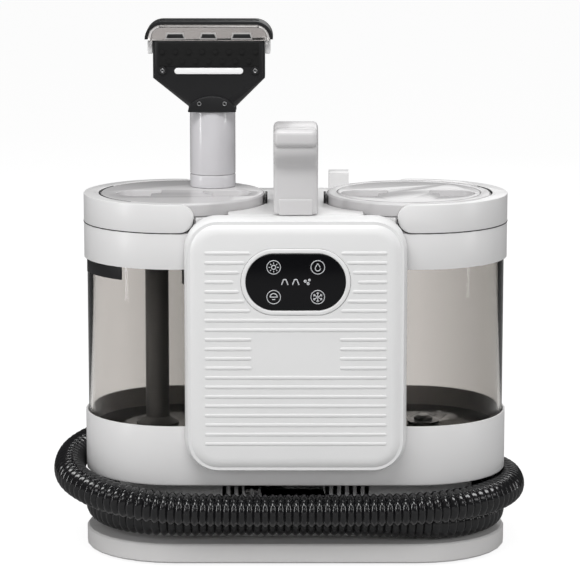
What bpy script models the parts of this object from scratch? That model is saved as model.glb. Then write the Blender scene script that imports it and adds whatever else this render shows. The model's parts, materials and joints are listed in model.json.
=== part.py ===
"""Carpet cleaner machine: a spot cleaner with two lift-out water tanks and a wound suction hose.

The frame stands on z = 0, the front faces -Y and every size below is in millimetres.
"""
import bpy
import bmesh
from math import acos, cos, pi, radians, sin
from mathutils import Vector

MM = 0.001
GAP = 0.3                 # clearance between pieces that touch
ROUND = 20                # steps round a small turned piece
WIDE = 48                 # steps round a lid
D_STEPS = 28              # steps round a tank's outline

# Whole machine
BODY_R = 78.0             # radius of the round ends
END_GAP = 24.0            # how far a round end's centre lies past its own radius
END_X = BODY_R + END_GAP
FOOT_H = 1.6
FOOT_R = 11.0
FOOT_X = END_X + 26.0
FOOT_Y = 34.0

# Base
PLINTH_H = 17.0
PLINTH_TOP = FOOT_H + PLINTH_H
PLINTH_WALL = 3.0
PLINTH_EDGE = 1.5
BOSS_WALL = 2.0           # wall of a foot's boss
CORE_R = 50.0
CORE_H = 50.4
CORE_WALL = 2.5
HOUSING_LOW = PLINTH_TOP + CORE_H
HOUSING_H = 51.0
HOUSING_TOP = HOUSING_LOW + HOUSING_H
HOUSING_WALL = 1.8
FLOOR_T = 2.5
FLOOR_HOLE = (52.0, 44.0)  # half sizes of the way down into the core
WELL_DEPTH = 18.0         # how deep a tank stands in the housing
WELL_FLOOR = HOUSING_TOP - WELL_DEPTH
WELL_FLOOR_T = 3.0
WELL_INSET = 0.7          # step between the well's wall and the room under it
GRILLE_SLOTS = 19
GRILLE_PITCH = 6.7
GRILLE_SLOT_W = 3.6
GRILLE_SLOT_H = 12.0
GRILLE_FROM_TOP = 3.0

# Tower between the tanks
TOWER_X = 56.0
TOWER_WALL = 2.5
TOWER_CORNER = 6.0
CUP_H = 166.0
CUP_STAND = 1.0           # height of a tank's underside over the well's floor
CUP_LOW = WELL_FLOOR + CUP_STAND
CUP_TOP = CUP_LOW + CUP_H
COLLAR_RISE = 14.0        # how far a collar stands over its cup
COLLAR_TOP = CUP_TOP + COLLAR_RISE
LID_H = 24.0
LID_TOP = COLLAR_TOP + LID_H
DECK_TOP = LID_TOP - 8.0
DECK_T = 6.0
TOWER_TOP = DECK_TOP - DECK_T
DECK_PLATE_T = 2.2
COVER_X = TOWER_X - 12.0
COVER_LOW = HOUSING_TOP + 12.0
COVER_HIGH = TOWER_TOP - 11.0
VENT_SLOTS = 8
VENT_PITCH = 7.0
VENT_H = 3.0
VENT_X = (-34.0, -4.0)
INLET_X = (-34.0, -6.0)
INLET_Z = (COVER_HIGH - 53.0, COVER_HIGH - 29.0)
INLET_PROUD = 7.0
INLET_WALL = 4.0

# Front panel
PANEL_X = 92.0
PANEL_LOW = HOUSING_LOW + 15.4
PANEL_HIGH = DECK_TOP
PANEL_T = 21.0
PANEL_BACK = -(BODY_R + 1.0)
PANEL_FACE = PANEL_BACK - PANEL_T
PANEL_CORNER = 28.0
PANEL_SOFT = 14.0         # radius of the soft edge all round the panel
PANEL_WALL = 3.0
RIB_COUNT = 21
RIB_PITCH = 8.0
RIB_TOP = PANEL_HIGH - 28.5
RIB_X = PANEL_X - 17.0
RIB_H = 3.0
RIB_PROUD = 0.8
DISPLAY_Z = PANEL_HIGH - 52.5
DISPLAY_X = 41.0          # half length of the black window
DISPLAY_R = 23.6
BEZEL_BAND = 4.0
MARK_X = 36.5             # half width of the plain field on the lower ribs
BOARD_HALF = 36.0
BOARD_H = 36.0
BOARD_T = 1.6

# Tanks
CUP_R = BODY_R - 2.5
CUP_FLAT = TOWER_X + 3.0  # distance of a tank's flat side from the middle
CUP_WALL = 2.5
CUP_FLOOR_T = 3.0
COLLAR_LAP = 16.0         # how far a collar reaches down over its cup
COLLAR_LOW = CUP_TOP - COLLAR_LAP
COLLAR_FLAT = TOWER_X + 1.5
COLLAR_DECK_T = 6.0
LID_X = END_X - 6.0       # centre of a lid
LID_R = BODY_R - 8.0
LID_PLATE_T = 11.0
LID_MOUTH_R = LID_R - 10.0
LID_MOUTH_FLAT = CUP_FLAT + 3.0
LID_GROOVE = 1.3          # gap between lid and handle
POCKET_DEPTH = 6.0
POCKET_LOW_Y = -27.0
POCKET_HIGH_Y = 9.5
POCKET_STEP = 8.0         # how far the rear half of a pocket runs on
POCKETS = ((LID_X - 58.0, LID_X - 26.0), (LID_X + 56.0, LID_X + 26.0))   # round end, front end
PIVOT_X = LID_X
PIVOT_Z = (LID_TOP + COLLAR_TOP + GAP) / 2
PIN_R = 4.0
CAP_R = LID_R - 9.0
CAP_LEDGE = LID_TOP - 7.6
PIN_IN = CAP_R + 1.6
PIN_COVER = 2.0           # wall of a handle in front of its pin

# Inside the dirty tank
PIPE_X = -(END_X + 16.0)
PIPE_Y = -10.0
PIPE_R = 10.0
PIPE_WALL = 1.8
PIPE_TOP = CUP_TOP - 4.0
FLOAT_X = -(END_X - 18.0)
FLOAT_R = 10.9
GUIDE_R = 13.0
GUIDE_BORE_R = 11.4
GUIDE_H = 70.0
SPOUT_H = 11.0
SPOUT_ANGLES = (196.0, 236.0)

# Clean tank outlet
VALVE_X = END_X + 8.0
VALVE_R = 8.7
VALVE_BORE_R = 4.6
VALVE_FLANGE_R = 14.0

# Wand parked on the dirty tank's lid
WAND_X = -(LID_X - 25.0)
WAND_Y = 34.0
WAND_R = 19.5
WAND_BORE_R = 14.0
SPIGOT_R = 16.5
DOCK_H = 11.1
DOCK_TOP = LID_TOP + DOCK_H
TUBE_LENGTH = 54.7
TUBE_TOP = DOCK_TOP + TUBE_LENGTH
HEAD_X = 47.6             # half width of the nozzle head
HEAD_Y = 17.0             # half depth of the nozzle head
HEAD_SIDE = -2.6          # how far the head's middle lies beside the tube's
HEAD_WALL = 2.2
HEAD_CORNER = 5.0
NECK_PROUD = 1.0
TAPER_LOW = TUBE_TOP + 3.3
TAPER_TOP = TAPER_LOW + 25.4
HEAD_TOP = TAPER_TOP + 31.8
LIP_X = HEAD_X + 3.9
LIP_H = 13.5
LIP_R = 12.0
LIP_TOP = HEAD_TOP + LIP_H
STRIP_T = 2.6
MOUTH_X = HEAD_X - 5.3
MOUTH_Y = 5.0
BAR_HALF = 26.6
BAR_R = 2.6
BAR_Z = HEAD_TOP - 25.4
PAD_Z = (HEAD_TOP - 21.0, HEAD_TOP - 1.5)
TUFT_ROWS = ((HEAD_TOP - 9.1, 8), (HEAD_TOP - 17.1, 7))
TUFT_PITCH = 11.3
TUFT_R = 2.0
SCREW_X = HEAD_X - 8.3
SCREW_R = 3.0

# Handle on top, as distances from its front edge and from the deck
HANDLE_X = 18.3
HANDLE_FRONT = -(BODY_R + 6.0)
HANDLE_OUTER = ((0, GAP), (0, 26), (-2, 41), (-11, 50), (-13, 61), (-3, 71), (22, 74), (62, 70), (98, 56),
                (119, 30), (129, GAP))
HANDLE_INNER = ((107, GAP), (98, 24), (80, 41), (54, 51), (32, 52), (22, 44), (20, 26), (20, GAP))
HANDLE_SOFT = 3.5

# Motor
MOTOR_R = 38.0
MOTOR_TOP = TOWER_TOP - 40.0
MOTOR_LOW = MOTOR_TOP - 60.0
SHAFT_R = 4.0
SHAFT_DEPTH = 18.0
IMPELLER_R = 34.0
IMPELLER_TOP = MOTOR_LOW - 6.0
IMPELLER_LOW = IMPELLER_TOP - 16.0
BLADES = 8
SHROUD_R = 44.0
SHROUD_WALL = 4.0
SHROUD_EYE_R = 12.0

# Hose
HOSE_D = 27.6
HOSE_POINTS = 96
CLIP_X = 38.0
CLIP_Y = BODY_R + HOSE_D / 2 + 1.3
CUFF_R = HOSE_D / 2 + 0.7
CUFF_BORE_R = 9.0
CUFF_LOW = TOWER_TOP - 46.0
CUFF_TOP = CUFF_LOW + 45.0
CLIP_TOP = CUFF_TOP + 20.0
CLIP_BACK = BODY_R + 22.6
CLIP_WALL = 2.5
CLIP_WRAP = 25.0
CLIP_ARM_HALF = 8.7
PORT_X = -44.0
PORT_LENGTH = 26.0
INNER_TURN_R = CORE_R + 14.9
OUTER_TURN_R = BODY_R + 10.6


# ---------------------------------------------------------------- helpers

def clear_scene():
    for obj in list(bpy.data.objects):
        bpy.data.objects.remove(obj, do_unlink=True)


def material(name, colour, roughness, metallic=0.0, alpha=1.0):
    mat = bpy.data.materials.new(name)
    mat.use_nodes = True
    shader = mat.node_tree.nodes["Principled BSDF"]
    shader.inputs["Base Color"].default_value = (*colour, 1.0)
    shader.inputs["Roughness"].default_value = roughness
    shader.inputs["Metallic"].default_value = metallic
    shader.inputs["Alpha"].default_value = alpha
    return mat


def arc(cx, cy, r, start, end, steps):
    """Points on an arc, angles in degrees, both ends included."""
    turns = [radians(start + (end - start) * k / steps) for k in range(steps + 1)]
    return [(cx + r * cos(t), cy + r * sin(t)) for t in turns]


def circle(cx, cy, r, steps=ROUND):
    return arc(cx, cy, r, 0.0, 360.0, steps)[:-1]


def stadium(end_x, r, steps=16):
    return arc(end_x, 0.0, r, -90.0, 90.0, steps) + arc(-end_x, 0.0, r, 90.0, 270.0, steps)


def rounded(x0, x1, y0, y1, r, steps=6):
    corners = ((x1 - r, y0 + r, -90), (x1 - r, y1 - r, 0), (x0 + r, y1 - r, 90), (x0 + r, y0 + r, 180))
    points = []
    for cx, cy, start in corners:
        points += arc(cx, cy, r, start, start + 90, steps)
    return points


def d_shape(side, centre, r, flat, steps=D_STEPS):
    """A circle about x = centre, cut off flat where |x| = flat; side is -1 or +1."""
    half = acos((flat - centre) / r) * 180.0 / pi
    points = arc(centre, 0.0, r, -half, half, steps)
    return [(side * x, y) for x, y in points]


def place(axis, u, v, w):
    """The outline point (u, v) at level w along the axis, in metres."""
    if axis == "Z":
        return Vector((u, v, w)) * MM
    if axis == "Y":
        return Vector((u, w, v)) * MM
    return Vector((w, u, v)) * MM


def loft(sections, axis="Z"):
    """Join outlines of equal point counts, given as (outline, level), into one closed solid."""
    bm = bmesh.new()
    loops = []
    for outline, level in sections:
        loops.append([bm.verts.new(place(axis, u, v, level)) for u, v in outline])
    for low, high in zip(loops, loops[1:]):
        count = len(low)
        for k in range(count):
            bm.faces.new((low[k], low[(k + 1) % count], high[(k + 1) % count], high[k]))
    bm.faces.new(list(reversed(loops[0])))
    bm.faces.new(loops[-1])
    bmesh.ops.recalc_face_normals(bm, faces=bm.faces)
    return bm


def prism(outline, low, high, axis="Z"):
    return loft([(outline, low), (outline, high)], axis)


def block(x0, x1, y0, y1, z0, z1):
    return prism([(x0, y0), (x1, y0), (x1, y1), (x0, y1)], z0, z1)


def turned(profile, x, y, steps=ROUND):
    """Turn a closed profile of (radius, height) about the vertical axis at x, y."""
    bm = bmesh.new()
    loops = []
    for k in range(steps):
        turn = 2.0 * pi * k / steps
        row = [Vector((x + r * cos(turn), y + r * sin(turn), z)) * MM for r, z in profile]
        loops.append([bm.verts.new(point) for point in row])
    count = len(profile)
    for k in range(steps):
        here = loops[k]
        there = loops[(k + 1) % steps]
        for i in range(count):
            j = (i + 1) % count
            bm.faces.new((here[i], here[j], there[j], there[i]))
    bmesh.ops.remove_doubles(bm, verts=bm.verts, dist=1e-7)
    bmesh.ops.recalc_face_normals(bm, faces=bm.faces)
    return bm


def tube(r_out, r_in, low, high, x, y, steps=ROUND):
    return turned([(r_in, low), (r_out, low), (r_out, high), (r_in, high)], x, y, steps)


def gathered(pieces):
    """Put several separate closed shapes into one mesh, for use as a cutter or an addition."""
    total = bmesh.new()
    for piece in pieces:
        mesh = bpy.data.meshes.new("gathered")
        piece.to_mesh(mesh)
        piece.free()
        total.from_mesh(mesh)
        bpy.data.meshes.remove(mesh)
    return total


def new_object(name, bm):
    mesh = bpy.data.meshes.new(name)
    bm.to_mesh(mesh)
    bm.free()
    obj = bpy.data.objects.new(name, mesh)
    bpy.context.scene.collection.objects.link(obj)
    return obj


def node(name, bm, mat, parent=None):
    """One named piece with its own material, shaded smooth except at its edges."""
    obj = new_object(name, bm)
    obj.data.materials.append(mat)
    obj.data.shade_smooth()
    obj.data.set_sharp_from_angle(angle=radians(32))
    obj.parent = parent
    return obj


def combine(obj, bm, operation):
    helper = new_object("cutter_" + obj.name, bm)
    helper.hide_render = True
    helper.display_type = "WIRE"
    step = obj.modifiers.new(operation.lower(), "BOOLEAN")
    step.operation = operation
    step.object = helper
    return obj


def cut(obj, bm):
    return combine(obj, bm, "DIFFERENCE")


def add(obj, bm):
    return combine(obj, bm, "UNION")


def body(name, x=0.0, y=0.0, z=0.0):
    """An empty that carries the pieces of one moving body, set on its joint's axis."""
    empty = bpy.data.objects.new(name, None)
    empty.location = Vector((x, y, z)) * MM
    bpy.context.scene.collection.objects.link(empty)
    return empty


def carry(empty, *pieces):
    """Parent pieces to an empty and leave them where they are."""
    for piece in pieces:
        piece.parent = empty
        piece.matrix_parent_inverse.identity()
        piece.location = -empty.location


# ---------------------------------------------------------------- base

def make_base(mats):
    for index, (sx, sy) in enumerate(((-1, -1), (1, -1), (-1, 1), (1, 1))):
        pad = tube(FOOT_R, 0.0, 0.0, FOOT_H, sx * FOOT_X, sy * FOOT_Y, 20)
        node(f"foot_{index + 1}", pad, mats["rubber"])
    low = FOOT_H + GAP
    edge = PLINTH_EDGE
    plinth = node("plinth", loft([
        (stadium(END_X, BODY_R - edge), low),
        (stadium(END_X, BODY_R), low + edge),
        (stadium(END_X, BODY_R), PLINTH_TOP - edge),
        (stadium(END_X, BODY_R - edge), PLINTH_TOP)]), mats["plinth"])
    cut(plinth, prism(stadium(END_X, BODY_R - PLINTH_WALL), low - 1.0, PLINTH_TOP - PLINTH_WALL))
    bosses = [tube(FOOT_R + BOSS_WALL, 0.0, low, PLINTH_TOP - 1.0, sx * FOOT_X, sy * FOOT_Y, 20)
              for sx in (-1, 1) for sy in (-1, 1)]
    add(plinth, gathered(bosses))

    core_low = PLINTH_TOP + GAP
    core_top = HOUSING_LOW - GAP
    core = node("hose_core", prism(stadium(END_X, CORE_R), core_low, core_top), mats["body"])
    cut(core, prism(stadium(END_X, CORE_R - CORE_WALL), core_low - 1.0, core_top + 1.0))
    first = -0.5 * (GRILLE_SLOTS - 1) * GRILLE_PITCH
    slots = []
    for k in range(GRILLE_SLOTS):
        x = first + k * GRILLE_PITCH
        half = 0.5 * GRILLE_SLOT_W
        slots.append(block(x - half, x + half, -CORE_R - 2.0, -CORE_R + CORE_WALL + 2.0,
                           core_top - GRILLE_FROM_TOP - GRILLE_SLOT_H, core_top - GRILLE_FROM_TOP))
    cut(core, gathered(slots))

    shell_r = BODY_R - HOUSING_WALL
    housing = node("lower_housing", loft([
        (stadium(END_X, BODY_R - 2.0), HOUSING_LOW),
        (stadium(END_X, BODY_R - 0.6), HOUSING_LOW + 0.6),
        (stadium(END_X, BODY_R), HOUSING_LOW + 2.0),
        (stadium(END_X, BODY_R), HOUSING_TOP)]), mats["body"])
    well_flat = CUP_FLAT - 1.2
    for side in (-1, 1):
        cut(housing, prism(d_shape(side, END_X, shell_r, well_flat), WELL_FLOOR, HOUSING_TOP + 1.0))
    cut(housing, prism(stadium(END_X, shell_r - WELL_INSET), HOUSING_LOW + FLOOR_T,
                       WELL_FLOOR - WELL_FLOOR_T))
    hole_x, hole_y = FLOOR_HOLE
    cut(housing, block(-hole_x, hole_x, -hole_y, hole_y, HOUSING_LOW - 1.0, HOUSING_LOW + FLOOR_T + 1.0))
    room_x = TOWER_X - 6.0
    room_y = BODY_R - 8.0
    cut(housing, block(-room_x, room_x, -room_y, room_y, WELL_FLOOR - WELL_FLOOR_T - 1.0, HOUSING_TOP + 1.0))
    cut(housing, tube(VALVE_R + 0.8, 0.0, WELL_FLOOR - WELL_FLOOR_T - 1.0, WELL_FLOOR + 1.0, VALVE_X, 0.0))


# ---------------------------------------------------------------- tower, deck and handle

def handle_outline():
    """Side view of the top handle: its outer line, then its inner line, as (y, z)."""
    outer = [(HANDLE_FRONT + y, DECK_TOP + z) for y, z in HANDLE_OUTER]
    inner = [(HANDLE_FRONT + y, DECK_TOP + z) for y, z in HANDLE_INNER]
    return smooth(outer, 3) + smooth(inner, 3)


def smooth(points, steps):
    """A Catmull-Rom curve through the points; both ends are kept."""
    path = [Vector(p) for p in points]
    path = [2 * path[0] - path[1]] + path + [2 * path[-1] - path[-2]]
    result = []
    for k in range(1, len(path) - 2):
        before, here, there, after = path[k - 1:k + 3]
        for i in range(steps):
            t = i / steps
            curve = (2 * here + (there - before) * t
                     + (2 * before - 5 * here + 4 * there - after) * t ** 2
                     + (3 * here - before - 3 * there + after) * t ** 3)
            result.append(tuple(0.5 * curve))
    result.append(tuple(path[-2]))
    return result


def make_tower(mats):
    low = HOUSING_TOP + GAP
    depth = BODY_R
    tower = node("tower_housing", prism(rounded(-TOWER_X, TOWER_X, -depth, depth, TOWER_CORNER), low,
                                        TOWER_TOP), mats["body"])
    wall = TOWER_WALL
    cut(tower, block(-TOWER_X + wall, TOWER_X - wall, -depth + wall, depth - wall, low - 1.0,
                     TOWER_TOP - wall))
    cut(tower, block(-COVER_X, COVER_X, depth - wall - 1.0, depth + 1.0, COVER_LOW, COVER_HIGH))

    cover = node("rear_cover", block(-COVER_X + GAP, COVER_X - GAP, depth - wall, depth,
                                     COVER_LOW + GAP, COVER_HIGH - GAP), mats["body"])
    vents = []
    for k in range(VENT_SLOTS):
        z = COVER_LOW + 15.0 + VENT_PITCH * k
        vents.append(block(*VENT_X, depth - wall - 1.0, depth + 1.0, z, z + VENT_H))
    cut(cover, gathered(vents))
    inlet = node("mains_inlet", block(*INLET_X, depth + GAP, depth + INLET_PROUD, *INLET_Z), mats["black"])
    cut(inlet, block(INLET_X[0] + INLET_WALL, INLET_X[1] - INLET_WALL, depth + 2.5, depth + INLET_PROUD + 1.0,
                     INLET_Z[0] + INLET_WALL, INLET_Z[1] - INLET_WALL))

    deck = node("deck", prism(rounded(-TOWER_X, TOWER_X, -depth, depth, TOWER_CORNER), TOWER_TOP + GAP,
                              DECK_TOP), mats["body"])
    for side in (-1, 1):
        cut(deck, tube(LID_R + 1.6, 0.0, TOWER_TOP + DECK_PLATE_T, DECK_TOP + 1.0, side * LID_X, 0.0, WIDE))

    handle = node("carry_handle", prism(handle_outline(), -HANDLE_X, HANDLE_X, axis="X"), mats["handle"])
    soft = handle.modifiers.new("soft_edges", "BEVEL")
    soft.width = HANDLE_SOFT * MM
    soft.segments = 2
    soft.limit_method = "ANGLE"
    soft.angle_limit = radians(50)


# ---------------------------------------------------------------- front panel

def panel_section(inset):
    return rounded(-PANEL_X + inset, PANEL_X - inset, PANEL_LOW + inset, PANEL_HIGH - inset,
                   PANEL_CORNER - inset, 6)


def soft_plate(inset, face, back, radius):
    """Sections of a plate whose front edge is a quarter round."""
    sections = [(panel_section(inset), back)]
    for k in range(5):
        turn = radians(90.0 * k / 4)
        sections.append((panel_section(inset + radius * (1 - cos(turn))), face + radius * (1 - sin(turn))))
    return sections


def window_outline(grow):
    r = DISPLAY_R + grow
    half = DISPLAY_X - DISPLAY_R
    return [(x, DISPLAY_Z + z) for x, z in stadium(half, r, 16)]


def rib_gap(index):
    """Half width of the break in a rib, or None for a full rib."""
    if index < 7:
        return DISPLAY_X + 10.3 - 4.6 * abs(index - 3)
    if 9 <= index <= 12:
        return MARK_X
    return None


def make_panel(mats):
    panel = node("front_panel", loft(soft_plate(0.0, PANEL_FACE, PANEL_BACK, PANEL_SOFT), axis="Y"),
                 mats["panel"])
    wall = PANEL_WALL
    cut(panel, loft(soft_plate(wall, PANEL_FACE + wall, PANEL_BACK + 1.0, PANEL_SOFT - wall), axis="Y"))
    cut(panel, prism(window_outline(BEZEL_BAND + GAP), PANEL_FACE - 2.0, PANEL_FACE + 5.0, axis="Y"))
    ribs = []
    for index in range(RIB_COUNT):
        z = RIB_TOP - RIB_PITCH * index
        gap = rib_gap(index)
        spans = ((-RIB_X, RIB_X),) if gap is None else ((-RIB_X, -gap), (gap, RIB_X))
        for x0, x1 in spans:
            ribs.append(block(x0, x1, PANEL_FACE - RIB_PROUD, PANEL_FACE + 0.5, z - RIB_H / 2, z + RIB_H / 2))
    add(panel, gathered(ribs))

    ring = node("display_bezel", prism(window_outline(BEZEL_BAND), PANEL_FACE - 0.6, PANEL_FACE + 4.0,
                                       axis="Y"),
                mats["panel"])
    cut(ring, prism(window_outline(GAP), PANEL_FACE - 2.0, PANEL_FACE + 6.0, axis="Y"))
    node("display_window", prism(window_outline(0.0), PANEL_FACE - 0.4, PANEL_FACE + 3.0, axis="Y"),
         mats["display"])
    board_low = DISPLAY_Z - BOARD_H / 2
    board_face = PANEL_FACE + 6.0
    node("control_board", block(-BOARD_HALF, BOARD_HALF, board_face, board_face + BOARD_T, board_low,
                                board_low + BOARD_H), mats["board"])
    inset = 8.0
    carrier = rounded(-PANEL_X + inset, PANEL_X - inset, PANEL_LOW + inset, PANEL_HIGH - inset, 20.0, 4)
    node("panel_carrier", prism(carrier, PANEL_BACK - 2.5, PANEL_BACK + 0.4, axis="Y"), mats["black"])


# ---------------------------------------------------------------- tanks

def make_cup(name, side, mats):
    cup = node(name, prism(d_shape(side, END_X, CUP_R, CUP_FLAT), CUP_LOW, CUP_TOP), mats["tank"])
    inner = d_shape(side, END_X, CUP_R - CUP_WALL, CUP_FLAT + CUP_WALL)
    return cut(cup, prism(inner, CUP_LOW + CUP_FLOOR_T, CUP_TOP + 1.0))


def make_collar(name, side, mats):
    collar = node(name, prism(d_shape(side, END_X, BODY_R, COLLAR_FLAT), COLLAR_LOW, COLLAR_TOP),
                  mats["body"])
    cut(collar, prism(d_shape(side, END_X, CUP_R + GAP, CUP_FLAT - GAP), COLLAR_LOW - 1.0, CUP_TOP + GAP))
    room = d_shape(side, END_X, CUP_R - CUP_WALL, CUP_FLAT + CUP_WALL)
    cut(collar, prism(room, CUP_TOP - 1.0, COLLAR_TOP - COLLAR_DECK_T))
    mouth = d_shape(side, LID_X, LID_MOUTH_R, LID_MOUTH_FLAT)
    cut(collar, prism(mouth, COLLAR_TOP - COLLAR_DECK_T - 1.0, COLLAR_TOP + 1.0))
    for end in (-1, 1):
        add(collar, shoulder(side, end))
    return collar


def shoulder(side, end):
    """The raised corner of a collar, between the lid and the tank's outer line."""
    reach = PIVOT_X - (LID_TOP - COLLAR_TOP) / 2 - 1.6
    lid_r = LID_R + 1.6
    outer_from = acos((COLLAR_FLAT - END_X) / BODY_R) * 180.0 / pi
    outer_to = acos((reach - END_X) / BODY_R) * 180.0 / pi
    inner_from = acos((COLLAR_FLAT - LID_X) / lid_r) * 180.0 / pi
    inner_to = acos((reach - LID_X) / lid_r) * 180.0 / pi
    outline = arc(END_X, 0.0, BODY_R, outer_from, outer_to, 8)
    outline += arc(LID_X, 0.0, lid_r, inner_to, inner_from, 8)
    outline = [(side * x, end * y) for x, y in outline]
    return prism(outline, COLLAR_TOP - 1.0, LID_TOP - LID_PLATE_T - 0.5)


def make_lid(name, side, hollow_top, mats):
    """Round plate, D-shaped body under it and a plug that enters the collar's mouth."""
    plate_low = LID_TOP - LID_PLATE_T
    edge = 1.5
    lid = node(name, turned([(0.0, plate_low), (LID_R, plate_low), (LID_R, LID_TOP - edge),
                             (LID_R - edge, LID_TOP), (0.0, LID_TOP)], side * LID_X, 0.0, WIDE), mats["lid"])
    add(lid, prism(d_shape(side, LID_X, LID_R - 1.0, CUP_FLAT), COLLAR_TOP + GAP, plate_low + 0.5))
    plug = d_shape(side, LID_X, LID_MOUTH_R - 3.4, LID_MOUTH_FLAT + 3.4)
    add(lid, prism(plug, COLLAR_TOP - COLLAR_DECK_T - 4.0, COLLAR_TOP + 1.0))
    hollow = d_shape(side, LID_X, LID_MOUTH_R - 6.0, LID_MOUTH_FLAT + 6.0)
    cut(lid, prism(hollow, COLLAR_TOP - COLLAR_DECK_T - 5.0, hollow_top))
    for end in (-1, 1):
        hole = circle(side * PIVOT_X, PIVOT_Z, PIN_R + GAP, 20)
        span = sorted((end * (PIN_IN - GAP), end * (LID_R + 2.0)))
        cut(lid, prism(hole, span[0], span[1], axis="Y"))
    return lid


def make_seal(name, side, mats):
    outer = d_shape(side, LID_X, LID_MOUTH_R - GAP, LID_MOUTH_FLAT + GAP)
    low = COLLAR_TOP - COLLAR_DECK_T + 0.5
    seal = node(name, prism(outer, low, low + 5.0), mats["rubber"])
    inner = d_shape(side, LID_X, LID_MOUTH_R - 3.4 + GAP, LID_MOUTH_FLAT + 3.4 - GAP)
    return cut(seal, prism(inner, low - 1.0, low + 6.0))


def make_bail(name, side, mats):
    """A band that follows the tank's round end, with round eyes at its two pivots."""
    low = COLLAR_TOP + GAP
    eye_r = (LID_TOP - low) / 2
    inner_r = LID_R + LID_GROOVE
    reach = PIVOT_X - eye_r - 1.0
    outer_half = acos((reach - END_X) / BODY_R) * 180.0 / pi
    inner_half = acos((reach - LID_X) / inner_r) * 180.0 / pi
    outline = arc(END_X, 0.0, BODY_R, -outer_half, outer_half, D_STEPS)
    outline += arc(LID_X, 0.0, inner_r, inner_half, -inner_half, D_STEPS)
    bail = node(name, prism([(side * x, y) for x, y in outline], low, LID_TOP), mats["body"])
    far = END_X + BODY_R + 5.0
    side_view = arc(PIVOT_X, PIVOT_Z, eye_r, 90.0, 270.0, 12) + [(far, low), (far, LID_TOP)]
    side_view = [(side * x, z) for x, z in side_view]
    combine(bail, prism(side_view, -BODY_R - 5.0, BODY_R + 5.0, axis="Y"), "INTERSECT")
    holes = circle(side * PIVOT_X, PIVOT_Z, PIN_R + GAP, 20)
    cut(bail, prism(holes, -BODY_R + PIN_COVER, BODY_R - PIN_COVER, axis="Y"))
    pins = []
    for label, end in (("front", -1), ("rear", 1)):
        span = sorted((end * PIN_IN, end * (BODY_R - PIN_COVER - GAP)))
        rod = prism(circle(side * PIVOT_X, PIVOT_Z, PIN_R, 20), span[0], span[1], axis="Y")
        pins.append(node(f"{name}_pin_{label}", rod, mats["body"]))
    return bail, pins


def pocket(side, far, near):
    """A finger pocket: round at its far end, and stepped at the end near the lid's centre."""
    r = (POCKET_HIGH_Y - POCKET_LOW_Y) / 2
    mid = POCKET_LOW_Y + r
    way = 1.0 if near > far else -1.0
    outline = [(far + r - r * cos(t), mid + r * sin(t)) for t in [pi * (k / 14 - 0.5) for k in range(15)]]
    if way < 0:
        outline = [(2 * far - x, y) for x, y in outline]
    step_x = near + way * POCKET_STEP
    outline += [(step_x, POCKET_HIGH_Y), (step_x, mid + 2.0), (near, mid - 2.0), (near, POCKET_LOW_Y)]
    return prism([(side * x, y) for x, y in outline], LID_TOP - POCKET_DEPTH, LID_TOP + 1.0)


def make_dirty_tank(mats):
    side = -1
    cup = make_cup("dirty_tank_cup", side, mats)
    collar = make_collar("dirty_tank_collar", side, mats)
    floor = CUP_LOW + CUP_FLOOR_T + GAP
    pipe = node("dirty_standpipe", turned([
        (PIPE_R - PIPE_WALL, floor), (PIPE_R + 8.0, floor), (PIPE_R + 8.0, floor + 3.0),
        (PIPE_R, floor + 8.0),
        (PIPE_R, PIPE_TOP), (PIPE_R - PIPE_WALL, PIPE_TOP)], PIPE_X, PIPE_Y), mats["black"])
    first, last = SPOUT_ANGLES
    spout = arc(-END_X, 0.0, CUP_R + 1.9, first, last, 12) + arc(-END_X, 0.0, CUP_R + GAP, last, first, 12)
    lip = node("dirty_pour_spout", prism(spout, COLLAR_LOW - SPOUT_H, COLLAR_LOW - GAP), mats["black"])
    tank = body("dirty_tank_body", side * END_X, 0.0, CUP_LOW)
    carry(tank, cup, collar, pipe, lip)

    roof = LID_TOP - LID_PLATE_T - 0.5
    lid = make_lid("dirty_lid", side, roof, mats)
    for far, near in POCKETS:
        cut(lid, pocket(side, far, near))
    seal = make_seal("dirty_lid_seal", side, mats)
    guide_top = roof - GAP
    guide_low = guide_top - GUIDE_H
    guide = node("float_guide", tube(GUIDE_R, GUIDE_BORE_R, guide_low, guide_top, FLOAT_X, 0.0),
                 mats["black"])
    past = GUIDE_R + 2.0
    slots = [block(FLOAT_X - 3.0, FLOAT_X + 3.0, -past, past, guide_low + 10.0, guide_low + 40.0),
             block(FLOAT_X - past, FLOAT_X + past, -3.0, 3.0, guide_top - 24.0, guide_top - 12.0)]
    for slot in slots:
        cut(guide, slot)
    float_low = guide_low + 2.0
    buoy = node("shutoff_float", tube(FLOAT_R, 0.0, float_low, float_low + 30.0, FLOAT_X, 0.0, 24),
                mats["float"])
    dock = node("wand_dock", tube(WAND_R, SPIGOT_R + GAP, LID_TOP + GAP, DOCK_TOP, WAND_X, WAND_Y, 40),
                mats["tube"])
    bail, pins = make_bail("dirty_handle", side, mats)
    lid_body = body("dirty_lid_body", side * LID_X, 0.0, COLLAR_TOP)
    carry(lid_body, lid, seal, guide, dock, *pins)
    carry(body("shutoff_float_body", FLOAT_X, 0.0, float_low), buoy)
    carry(body("dirty_handle_body", side * PIVOT_X, 0.0, PIVOT_Z), bail)


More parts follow.
